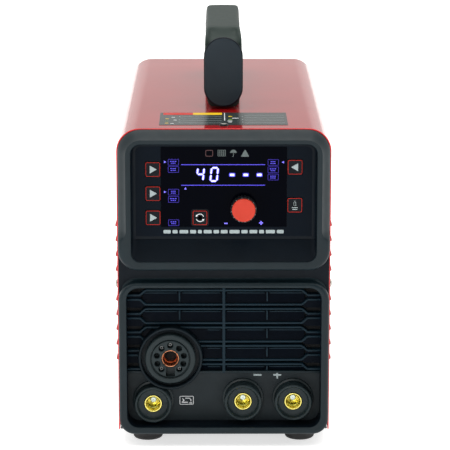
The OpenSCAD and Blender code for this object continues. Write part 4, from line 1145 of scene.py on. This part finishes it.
HANDLE_MID = 248.0
OUTLINE = [                 # matched points (y, z) on the outer and the inner side, from foot to middle
    ((116.0, 334.9), (152.0, 334.9)), ((116.0, 344.0), (152.0, 344.0)), ((116.0, 356.0), (152.0, 354.0)),
    ((116.0, 368.0), (152.1, 363.0)), ((116.0, 380.0), (152.8, 371.0)), ((116.1, 392.0), (155.0, 378.5)),
    ((116.6, 401.0), (158.6, 384.2)), ((118.6, 407.6), (163.0, 387.8)), ((123.5, 411.4), (168.0, 389.8)),
    ((131.0, 413.3), (173.5, 390.5)), ((139.5, 415.0), (180.0, 390.6)), ((148.0, 416.4), (188.0, 390.6)),
    ((152.5, 417.3), (193.0, 390.6)), ((166.0, 417.5), (204.0, 390.6)), ((182.0, 417.5), (215.0, 390.6)),
    ((202.0, 417.5), (226.0, 390.6)), ((224.0, 417.5), (237.0, 390.6)), ((248.0, 417.5), (248.0, 390.6))]


def handle_section(outer, inner, half, radius, middle, side):
    """One cross-section between an outer and an inner point, hollowed in its middle and at its sides."""
    out, inn = Vector(outer), Vector(inner)
    depth = (out - inn).length
    along = (out - inn) / depth
    flat = rounded_rect(-half, half, 0, depth, min(radius, depth * 0.45), 5)
    count = 18                       # extra points across the outer face, for the scoop
    points = []
    for i, (x, d) in enumerate(flat):
        points.append((x, d))
        next_x, next_d = flat[(i + 1) % len(flat)]
        if abs(d - depth) < 0.01 and abs(next_d - depth) < 0.01 and abs(next_x - x) > 4:
            points += [(x + (next_x - x) * k / count, depth) for k in range(1, count)]
    ring = []
    for x, d in points:
        if d > depth * 0.6:
            across = min(1.0, abs(x) / (half - 2.4))
            d -= (middle + (side - middle) * across ** 2) * (1 - across ** 8)
        place = inn + along * d
        ring.append((x, place.x, place.y))
    return ring


def half_handle(rear):
    """Sections from a foot to the middle. The rear foot's scoop is shallower, and its edges rounder."""
    rings = []
    for i, (outer, inner) in enumerate(OUTLINE):
        narrowing = smooth_step(4, 12, i) if rear else smooth_step(5, 15, i)
        half = 16.8 + 3.0 * smooth_step(0, 4, i) - 1.8 * narrowing
        sunk = (5.4 if rear else 9.0) * smooth_step(5.6, 8.8, i)
        middle, side = sunk * (1 - smooth_step(8.6, 11.8, i)), sunk * (1 - smooth_step(10.95, 11.8, i))
        radius = 2.0 + 3.6 * (smooth_step(3, 8, i) if rear else smooth_step(6, 12, i))
        rings.append(handle_section(outer, inner, half, radius, middle, side))
    return rings


rear_half = [[(x, 2 * HANDLE_MID - y, z) for x, y, z in ring] for ring in reversed(half_handle(True)[:-1])]
handle = piece("handle_moulding", loft(half_handle(False) + rear_half), "handle_body", smooth=60)
smoothing = handle.modifiers.new("smooth", "SUBSURF")
smoothing.levels = smoothing.render_levels = 1
apply_modifiers(handle)


def handle_cap(name, node, front, sign, slack=0.0):
    """An oval cap with a rolled rim, a shallow groove and a slightly crowned face."""
    (x0, _, z0), (x1, _, z1) = node_box(node)
    half = (x1 - x0) / 2 - slack
    outline = arc((0, z1 - slack - half), half, 0, 180, 18) + arc((0, z0 + slack + half), half, 180, 360, 18)
    rings = [[(x, front + sign * 4.0, z) for x, z in outline]]
    for inset, depth in ((0.0, 2.4), (0.15, 1.8), (0.6, 1.2), (1.3, 0.75), (1.55, 0.35), (1.9, 0.18),
                         (2.4, 0.26), (3.4, 0.24), (6.0, 0.10), (10.0, 0.03), (15.0, 0.0)):
        rings.append([(x, front + sign * depth, z) for x, z in shrunk(outline, inset)])
    # The cap's face is a darker, bluer copy of the handle's plastic: painted shade
    cap = piece(name, loft(rings), node, "cap_shade_plastic", smooth=50)
    cap.data.materials.append(FINISHES["recess_shade_plastic"])
    for face in cap.data.polygons[:4 * len(outline)]:        # the rim takes painted shade, darker than the face
        face.material_index = 1


handle_cap("handle_cap_front", "handle_front_cap", node_box("handle_front_cap")[0][1], 1)
handle_cap("handle_cap_rear", "handle_rear_cap", node_box("handle_rear_cap")[1][1], -1, 0.8)


# Rear: a moulded panel with the fan, its wire guard, the mains switch, the gland and the air inlet

REAR = node_box("rating_plate")[0][1]               # the rear panel's outer face
REAR_INSIDE = REAR - 4.0
FAN = (0.0, node_middle("fan_frame")[2])
FAN_Y0, FAN_Y1 = (corner[1] for corner in node_box("fan_frame"))
SWITCH, GLAND, INLET = (node_middle(node)[::2] for node in ("mains_switch_body", "cable_gland", "air_inlet"))
FAN_CORNERS = (45, 135, 225, 315)
SCREW_RING = 74.2
FAN_SCREWS = [polar(FAN, SCREW_RING, angle) for angle in FAN_CORNERS]
PANEL_SCREWS = [(side * 92, z) for side in (-1, 1) for z in (30, 310)]


def hex_ring(profile, centre, bore):
    """A six-sided ring with a round hole. Its profile's points are (distance to a flat, y)."""
    rings = []
    for k in range(48):
        angle = 2 * math.pi * k / 48
        to_corner = math.cos((angle % (math.pi / 3)) - math.pi / 6)
        ring = [(flat / to_corner, y) for flat, y in profile]
        ring += [(bore, profile[-1][1]), (bore, profile[0][1])]
        rings.append([(centre[0] + r * math.cos(angle), y, centre[1] + r * math.sin(angle)) for r, y in ring])
    return loft(rings, closed=True)


outline = [(x, z) for x, z, _, _ in contour(-HALF, HALF, 12.8, 333.5, 12, 24, (100, 200))]
rings = [[(x, y, z) for x, z in shrunk(outline, inset)] for inset, y in
         ((1.6, COVER_LEN - 2), (1.6, COVER_LEN + 0.15), (0, COVER_LEN + 0.15), (0, COVER_LEN + 5),
          (0.5, COVER_LEN + 6.6), (2.0, COVER_LEN + 8.8), (3.6, REAR - 0.8), (5.0, REAR), (5.6, REAR),
          (6.4, REAR - 0.6), (7.6, REAR - 0.6), (8.4, REAR), (12, REAR))]
rear = piece("rear_moulding", loft(rings), "rear_panel")
cut(rear, slab(rounded_rect(-98, 98, 22, 324, 16), COVER_LEN - 5, REAR_INSIDE), 28)
for place, radius in ((FAN, 57), (GLAND, 10.2), (INLET, 6.6)):
    cut(rear, lathe([(radius, REAR_INSIDE - 2), (radius, REAR + 2)], place, 72), 28)
cut(rear, slab(rounded_rect(*around(*SWITCH, 14.4, 11.4), 0.5, 1), REAR_INSIDE - 2, REAR + 2), 28)
vents = [slab(rounded_rect(x - 1.6, x + 1.6, 262, 304, 1.5, 3), REAR - 0.9, REAR + 1)
         for x in (-26, -20, -14, -8, -2)]
cut(rear, join(*vents), 28)

# Fan: a square frame with rounded corners and a flared throat, struts, and swept blades
sections = []
for x, z in rounded_rect(*around(*FAN, node_width("fan_frame") / 2), 6.0, 8):
    rise = z - FAN[1]
    angle = math.atan2(rise, x)
    section = [(x * 0.985, FAN_Y0, FAN[1] + rise * 0.985), (x, FAN_Y0 + 0.8, z), (x, FAN_Y1 - 0.3, z),
               (x * 0.99, FAN_Y1, FAN[1] + rise * 0.99)]
    section += [(radius * math.cos(angle), y, FAN[1] + radius * math.sin(angle)) for y, radius in
                ((FAN_Y1 - 0.2, 57.6), (FAN_Y1 - 2, 56.3), (FAN_Y1 - 5, 56.0), (FAN_Y0 + 5, 56.0),
                 (FAN_Y0 + 2, 56.2), (FAN_Y0 + 0.2, 57.5))]
    sections.append(section)
strut = slab(rect(18, 57, FAN[1] - 1.9, FAN[1] + 1.9), FAN_Y0 + 0.4, FAN_Y0 + 2.6)
hub_mount = lathe([(21, FAN_Y0 + 3), (21, FAN_Y0 + 0.8), (20.2, FAN_Y0), (0.5, FAN_Y0)], FAN)
axle = lathe([(2.4, FAN_Y0 + 1), (2.4, FAN_Y0 + 25.4), (1.8, FAN_Y0 + 26)], FAN, 24)
piece("fan_housing", join(loft(sections, closed=True), hub_mount, axle,
                          *[turned(strut, angle, FAN) for angle in FAN_CORNERS]), "fan_frame")

ROTOR_Y0, ROTOR_Y1 = FAN_Y0 + 3.6, FAN_Y0 + 32.0
hub = lathe([(2.45, ROTOR_Y0), (19.5, ROTOR_Y0), (19.5, ROTOR_Y1 - 2.2), (18.9, ROTOR_Y1 - 0.8),
             (17.4, ROTOR_Y1), (11.0, ROTOR_Y1), (10.4, ROTOR_Y1 - 0.5), (2.0, ROTOR_Y1 - 0.5),
             (2.0, ROTOR_Y1 - 4.4), (2.45, ROTOR_Y1 - 4.4)], FAN, 72, closed=True)


def fan_blade():
    """A blade that is steep at the hub, flatter at the tip, and cupped across its chord."""
    rings = []
    middle = (ROTOR_Y0 + ROTOR_Y1) / 2
    for step in range(9):
        t = step / 8                     # 0 at the hub, 1 at the tip
        radius = 18.6 + 34.9 * t
        pitch = math.radians(47 - 19 * t)
        chord = 24.0 + 7.0 * math.sin(math.pi * min(1.0, t * 1.1) * 0.8)
        sweep = 0.35 * t * t
        ring = []
        for side, order in ((1, range(9)), (-1, reversed(range(9)))):
            for k in order:
                s = k / 8 - 0.5
                camber = 2.4 * (1 - 4 * s * s)
                thick = 0.25 + 0.75 * (1 - abs(2 * s) ** 3)
                u, w = s * chord, camber + side * thick
                angle = (u * math.cos(pitch) - w * math.sin(pitch)) / radius + sweep
                depth = u * math.sin(pitch) + w * math.cos(pitch)
                ring.append((radius * math.cos(angle), middle - 1 + depth, FAN[1] + radius * math.sin(angle)))
        rings.append(ring)
    return loft(rings)


BLADES = 7
blades = [turned(fan_blade(), 360 / BLADES * k, FAN) for k in range(BLADES)]
piece("fan_wheel", join(hub, *blades), "fan_rotor", smooth=50)
piece("fan_hub_disc", lathe([(9.8, ROTOR_Y1 - 0.6), (9.8, ROTOR_Y1 - 0.38), (2.6, ROTOR_Y1 - 0.38),
                             (2.6, ROTOR_Y1 - 0.6)], FAN, 48, closed=True),
      material="plate_silver", slot="fan_plastic", body="fan")

WIRE = 1.1
guard = [wire([(x, REAR + 3.1, z) for x, z in circle(FAN, radius, 72)], WIRE) for radius in (16, 28, 40, 52)]
for angle, eye in zip(FAN_CORNERS, FAN_SCREWS):
    spoke = []
    for radius, rise in ((14.4, 1.3), (40, 1.3), (62, 1.3), (68.6, 1.3), (70.4, 1.2)):
        x, z = polar(FAN, radius, angle)
        spoke.append((x, REAR + rise, z))
    guard.append(wire(spoke, WIRE, closed=False))
    guard.append(wire([(x, REAR + 1.2, z) for x, z in circle(eye, 3.3, 28)], WIRE))
piece("fan_wire_guard", join(*guard), "fan_guard", smooth=60)

seats = [backwards(x, REAR + 3, z) for x, z in FAN_SCREWS] + [backwards(x, REAR, z) for x, z in PANEL_SCREWS]
parts = [seat(pan_screw(3.8, 2.6)) for seat in seats]
parts += [lathe([(1.9, REAR - 12), (1.9, REAR + 1)], place, 16) for place in PANEL_SCREWS]
parts += [lathe([(1.9, REAR - 12), (1.9, REAR + 3.2)], place, 16) for place in FAN_SCREWS]
screws = piece("rear_screw_set", join(*parts), "rear_screws", smooth=40)
cross_recess(screws, seats, 1.4, 1.9, 0.8)

# Mains switch: a bezel with a moulded rim round a two-lobed rocker
sx, sz = SWITCH
rim = rounded_rect(*around(sx, sz, 16, 13), 2.0, 4)
inner = rounded_rect(*around(sx, sz, 11, 9.8), 0.8, 4)
rings = [[(x, REAR + y, z) for x, z in line] for line, y in
         ((inner, -14), (inner, 1.5), (shrunk(rim, 2.0), 2), (shrunk(rim, 0.8), 1.7), (rim, 0.9), (rim, 0),
          (shrunk(rim, 2.1), 0), (shrunk(rim, 2.1), -26), (inner, -26))]
tabs = [slab(rounded_rect(*around(sx + side, sz, 3, 0.6), 0.3, 1), REAR - 36, REAR - 25) for side in (-8, 8)]
piece("switch_housing", join(loft(rings), slab(inner, REAR - 26, REAR - 14), *tabs), "mains_switch_body")

TILT = math.radians(10)                 # how far the rocker leans at rest, its lower lobe pressed in
MARKS_SUNK = 0.1


def tipped(x, y, z):
    """From a rocker that is level, about its axle, to the rocker at rest."""
    return (x, REAR - 2 + y * math.cos(TILT) - z * math.sin(TILT),
            sz + y * math.sin(TILT) + z * math.cos(TILT))


profile = [(-7, -3.4), (-7, 3.4), (3, 8.6), (4.6, 8.75), (5.7, 8.3), (5.5, 6.2), (4.7, 3.0), (4.4, 0),
           (4.7, -3.0), (5.5, -6.2), (5.7, -8.3), (4.6, -8.75), (3, -8.6)]
rocker = [[(sx + x, y - inset * (y > 4), z) for y, z in profile] for x, inset in
          ((-10.4, 0.5), (-10.0, 0.0), (10.0, 0.0), (10.4, 0.5))]
pivot = changed(lathe([(1.5, -12.4), (1.5, 12.4)], (0, 0), 24),
                lambda x, y, z: (sx + y, REAR - 2 + x, sz + z))
piece("rocker", join(changed(loft(rocker), tipped), pivot), "mains_switch_rocker", smooth=40)
marks = join(slab(rounded_rect(sx - 0.35, sx + 0.35, 3.2, 7.0, 0.3, 2), 5.05, 5.35),
             lathe([(1.7, 5.0), (1.7, 5.3), (1.15, 5.3), (1.15, 5.0)], (sx, -5.1), 32, closed=True))
piece("rocker_marks", changed(changed(marks, tipped), lambda x, y, z: (x, y + MARKS_SUNK, z)),
      material="white_ink", slot="switch_red", body="mains_rocker")

# Cable gland: a hexagon flange, a ribbed dome nut and a rubber grommet; and the brass air inlet
gx, gz = GLAND
gland_nut = [(10.3, 4), (12.5, 5), (12.5, 14), (12.2, 15.2), (8.5, 23), (6.0, 23), (5.5, 22.4), (5.5, -18),
             (10.0, -18), (10.0, 4)]
rib = slab([(gx + 12.2, gz - 0.7), (gx + 13.1, gz - 0.4), (gx + 13.1, gz + 0.4), (gx + 12.2, gz + 0.7)],
           REAR + 5.4, REAR + 13)
flange = hex_ring(((12.1, REAR), (12.1, REAR + 4.4), (11.6, REAR + 5)), GLAND, 10.2)
locknut = hex_ring(((12.4, REAR - 10), (12.4, REAR - 4.2)), GLAND, 10.2)
piece("gland_fitting", join(lathe([(radius, REAR + y) for radius, y in gland_nut], GLAND, 64, closed=True),
                            *[turned(rib, 30 * k, GLAND) for k in range(12)], flange, locknut), "cable_gland")
barb = [(6.4, -20), (6.4, 2), (7.5, 2), (7.5, 8), (7.0, 8.6), (7.0, 9.6), (7.5, 10.2), (7.5, 15.6), (6.9, 17),
        (4.6, 17), (4.05, 16.4), (4.05, 1), (2.5, 1), (2.5, -20)]
nut = hex_ring(((7.3, REAR), (7.8, REAR + 0.5), (7.8, REAR + 4.5), (7.3, REAR + 5)), INLET, 6.5)
piece("inlet_fitting", join(lathe([(radius, REAR + y) for radius, y in barb], INLET, 48, closed=True), nut),
      "air_inlet")

# Rating plate with plain rules and a bar, no lettering
(x0, _, z0), (x1, plate_y, z1) = node_box("rating_plate")
piece("rating_foil", slab(rounded_rect(x0, x1, z0, z1, 2.0, 4), REAR, plate_y - 0.05), "rating_plate")
rules = [rounded_rect(12, 74, z, z + 0.5, 0.2, 1) for z in (266, 272, 278, 284, 290)]
rules += [rounded_rect(x, x + 0.5, 266, 290, 0.2, 1) for x in (12, 32, 53, 73.6)]
rules.append(rounded_rect(12, 74, 295, 302, 0.8, 2))
piece("rating_rules", join(*[slab(rule, REAR + 0.3, plate_y) for rule in rules]), material="pit_shade_and_dark_ink",
      slot="plate_silver")


# Inside: finer pieces for the parts that carry heat, wire and air

def block(x, y, width, length, height, edge=0.5):
    """A box on the power board with rounded upright corners and a bevelled top."""
    foot = rounded_rect(x, x + width, y, y + length, edge, 2)
    top = rounded_rect(x + edge, x + width - edge, y + edge, y + length - edge, edge / 2, 2)
    return loft([[(px, py, BOARD_TOP + z) for px, py in outline] for outline, z in
                 ((foot, 0), (foot, height - edge), (top, height))])


BOARD_TOP = node_box("power_board")[1][2]
relays = [block(x, y, 16, 12, 15) for x, y in ((-6, 82), (14, 82), (34, 82), (-6, 312))]
relays += [block(x, y, 7, 4, 9, 0.3) for x in (-40, -30, -20) for y in (84, 316)]
piece("board_relays", join(*relays), slot="black_plastic", smooth=40)
can = [(4.9, BOARD_TOP), (5.0, BOARD_TOP + 0.6), (5.0, BOARD_TOP + 11.2), (4.4, BOARD_TOP + 12)]
cans = [upright(can, x, y, 24) for x, y in ((14, 318), (28, 318), (42, 318), (56, 318), (68, 88), (68, 318))]
piece("board_cans", join(*cans), slot="capacitor_sleeve", smooth=40)

# Large capacitors: a sleeve with a crimped groove, and a bare vented top
(_, _, low), (_, _, high) = node_box("bulk_capacitors")
sleeve = [(15.6, low), (16, low + 0.8), (16, low + 5), (15.2, low + 6.2), (16, low + 7.4), (16, high - 1.6),
          (15.4, high - 0.3), (13.2, high)]
top = [(13.0, high - 1.2), (13.0, high - 0.4), (2, high - 0.3)]
for name, profile, material in (("sleeves", sleeve, "capacitor_sleeve"), ("tops", top, "aluminium")):
    piece("capacitor_" + name, join(*[upright(profile, -72, y) for y in (110, 148, 186, 224)]),
          "bulk_capacitors", material)


# Output choke: a closed ring core under one layer of thick wire

def choke_loop(k, count, radius, points):
    """The k-th of count circles that stand round the choke's ring."""
    x, y, z = node_middle("output_choke")
    angle = 2 * math.pi * k / count
    return [(x + across, y + out * math.cos(angle), z + out * math.sin(angle))
            for out, across in circle((22, 0), radius, points)]


piece("choke_core", loft([choke_loop(k, 48, 8.6, 16) for k in range(48)], closed=True), "output_choke",
      slot="ferrite")
piece("choke_winding", join(*[wire(choke_loop(k, 30, 10.1, 20), 1.35, 8) for k in range(30)]), "output_choke",
      slot="enamelled_wire", smooth=60)

# Compressor motor: a drawn can with rolled ends, a bearing boss and vent slots
motor_at = node_middle("compressor_motor")[::2]
start, stop = (corner[1] for corner in node_box("compressor_motor"))
shell = [(28.0, start), (29.4, start + 0.8), (30, start + 2.4), (30, start + 8), (29.5, start + 8.6),
         (29.5, start + 10), (30, start + 10.6), (30, stop - 8), (29.3, stop - 5.6), (27.6, stop - 4.3),
         (14.4, stop - 4), (14, stop - 3.6), (14, stop - 0.8), (13.2, stop), (3, stop)]
motor = piece("motor_can", lathe(shell, motor_at, 72), "compressor_motor")
vent = slab(rounded_rect(*around(motor_at[0] + 21.5, motor_at[1], 3.5, 2), 1.8, 4), stop - 6.5, stop + 1)
cut(motor, join(*[turned(vent, 60 * k, motor_at) for k in range(6)]))

# Every CAD part that still shows takes its own slot's finish
for node, slot in SLOT_OF.items():
    part = frame["nodes"][node]
    if not part.hide_render:
        part.data.materials.clear()
        part.data.materials.append(FINISHES[slot])


# Camera, light and floor

FRONT_LEVEL = 0.06
REAR_LEVEL = 0.7
SIDE_LEVEL = 1.0
TOP_LEVEL = 1.7
HORIZON_LEVEL = 0.92
FLOOR_REACH = 30.0
FLOOR_GLOW = 0.62


def camera():
    """The viewing angle: from the front, slightly left of the middle, looking down on the case."""
    data = bpy.data.cameras.new("camera")
    data.sensor_width = 36.0
    data.lens = 181.7
    data.clip_end = 50.0
    obj = add_object("camera", data)
    obj.location = (-0.0090, -2.5204, 0.7534)
    obj.rotation_euler = (math.radians(90 - 12.86), 0, math.radians(-0.257))
    bpy.context.scene.camera = obj


def softbox(name, place, width, height, power):
    """A soft panel of light that faces the middle of the case."""
    data = bpy.data.lights.new(name, "AREA")
    data.shape = "RECTANGLE"
    data.size, data.size_y = width, height
    data.energy = power
    obj = add_object(name, data)
    obj.location = place
    obj.rotation_euler = (Vector((0, 0, 0.2)) - Vector(place)).to_track_quat("-Z", "Y").to_euler()


def surround():
    """A studio's walls: white low down and behind, bright at both sides, dark towards the front."""
    world = bpy.data.worlds.new("surround")
    world.use_nodes = True
    tree = world.node_tree
    link = tree.links.new
    axes = tree.nodes.new("ShaderNodeSeparateXYZ")
    link(tree.nodes.new("ShaderNodeTexCoord").outputs["Generated"], axes.inputs[0])

    def ramp(source, *stops):
        """A brightness read off a line of (position, brightness) stops, for a source from -1 to 1."""
        span = tree.nodes.new("ShaderNodeMapRange")
        span.inputs["From Min"].default_value = -1
        link(source, span.inputs["Value"])
        node = tree.nodes.new("ShaderNodeValToRGB")
        elements = node.color_ramp.elements
        while len(elements) < len(stops):
            elements.new(0.5)
        for element, (place, level) in zip(elements, stops):
            element.position = (place + 1) / 2
            element.color = (level, level, level * 0.985, 1)
        link(span.outputs["Result"], node.inputs["Fac"])
        return node.outputs["Color"]

    def combine(kind, a, b):
        node = tree.nodes.new("ShaderNodeMix")
        node.data_type = "RGBA"
        node.blend_type = kind
        node.clamp_result = False
        node.inputs["Factor"].default_value = 1.0
        link(a, node.inputs["A"])
        link(b, node.inputs["B"])
        return node.outputs["Result"]

    depth = ramp(axes.outputs["Y"], (-0.6, FRONT_LEVEL), (-0.1, FRONT_LEVEL * 1.5), (0.5, REAR_LEVEL))
    sides = ramp(axes.outputs["X"], (-0.9, SIDE_LEVEL), (-0.55, 0.0), (0.55, 0.0), (0.9, SIDE_LEVEL))
    behind = ramp(axes.outputs["Y"], (-0.6, 0.0), (-0.2, 1.0))
    overhead = combine("MULTIPLY", ramp(axes.outputs["Z"], (0.5, 0.0), (0.9, TOP_LEVEL)), behind)
    horizon = ramp(axes.outputs["Z"], (-0.03, 0.0), (-0.01, HORIZON_LEVEL), (0.15, HORIZON_LEVEL),
                   (0.19, 0.0))
    total = combine("LIGHTEN", combine("ADD", combine("ADD", depth, sides), overhead), horizon)
    link(total, tree.nodes["Background"].inputs["Color"])
    tree.nodes["Background"].inputs["Strength"].default_value = 1.0
    bpy.context.scene.world = world


def floor():
    """A plain pale floor with a faint glow of its own."""
    mesh = bpy.data.meshes.new("floor")
    corners = rect(-FLOOR_REACH, FLOOR_REACH, -FLOOR_REACH, FLOOR_REACH)
    mesh.from_pydata([(x, y, 0) for x, y in corners], [], [(0, 1, 2, 3)])
    paper = finish((0.80, 0.80, 0.80), 0.85, mottle=0.01, cloud=6.0)
    paper.name = "floor"
    shader = paper.node_tree.nodes["Principled BSDF"]
    shader.inputs["Emission Color"].default_value = (1, 1, 1, 1)
    shader.inputs["Emission Strength"].default_value = FLOOR_GLOW
    mesh.materials.append(paper)
    add_object("floor", mesh)


bpy.context.scene.view_settings.view_transform = "Standard"
camera()
surround()
softbox("top_light", (0, -0.2, 2.2), 1.6, 1.2, 8)
softbox("front_fill", (-0.4, -2.6, 0.9), 0.6, 0.6, 12)
floor()
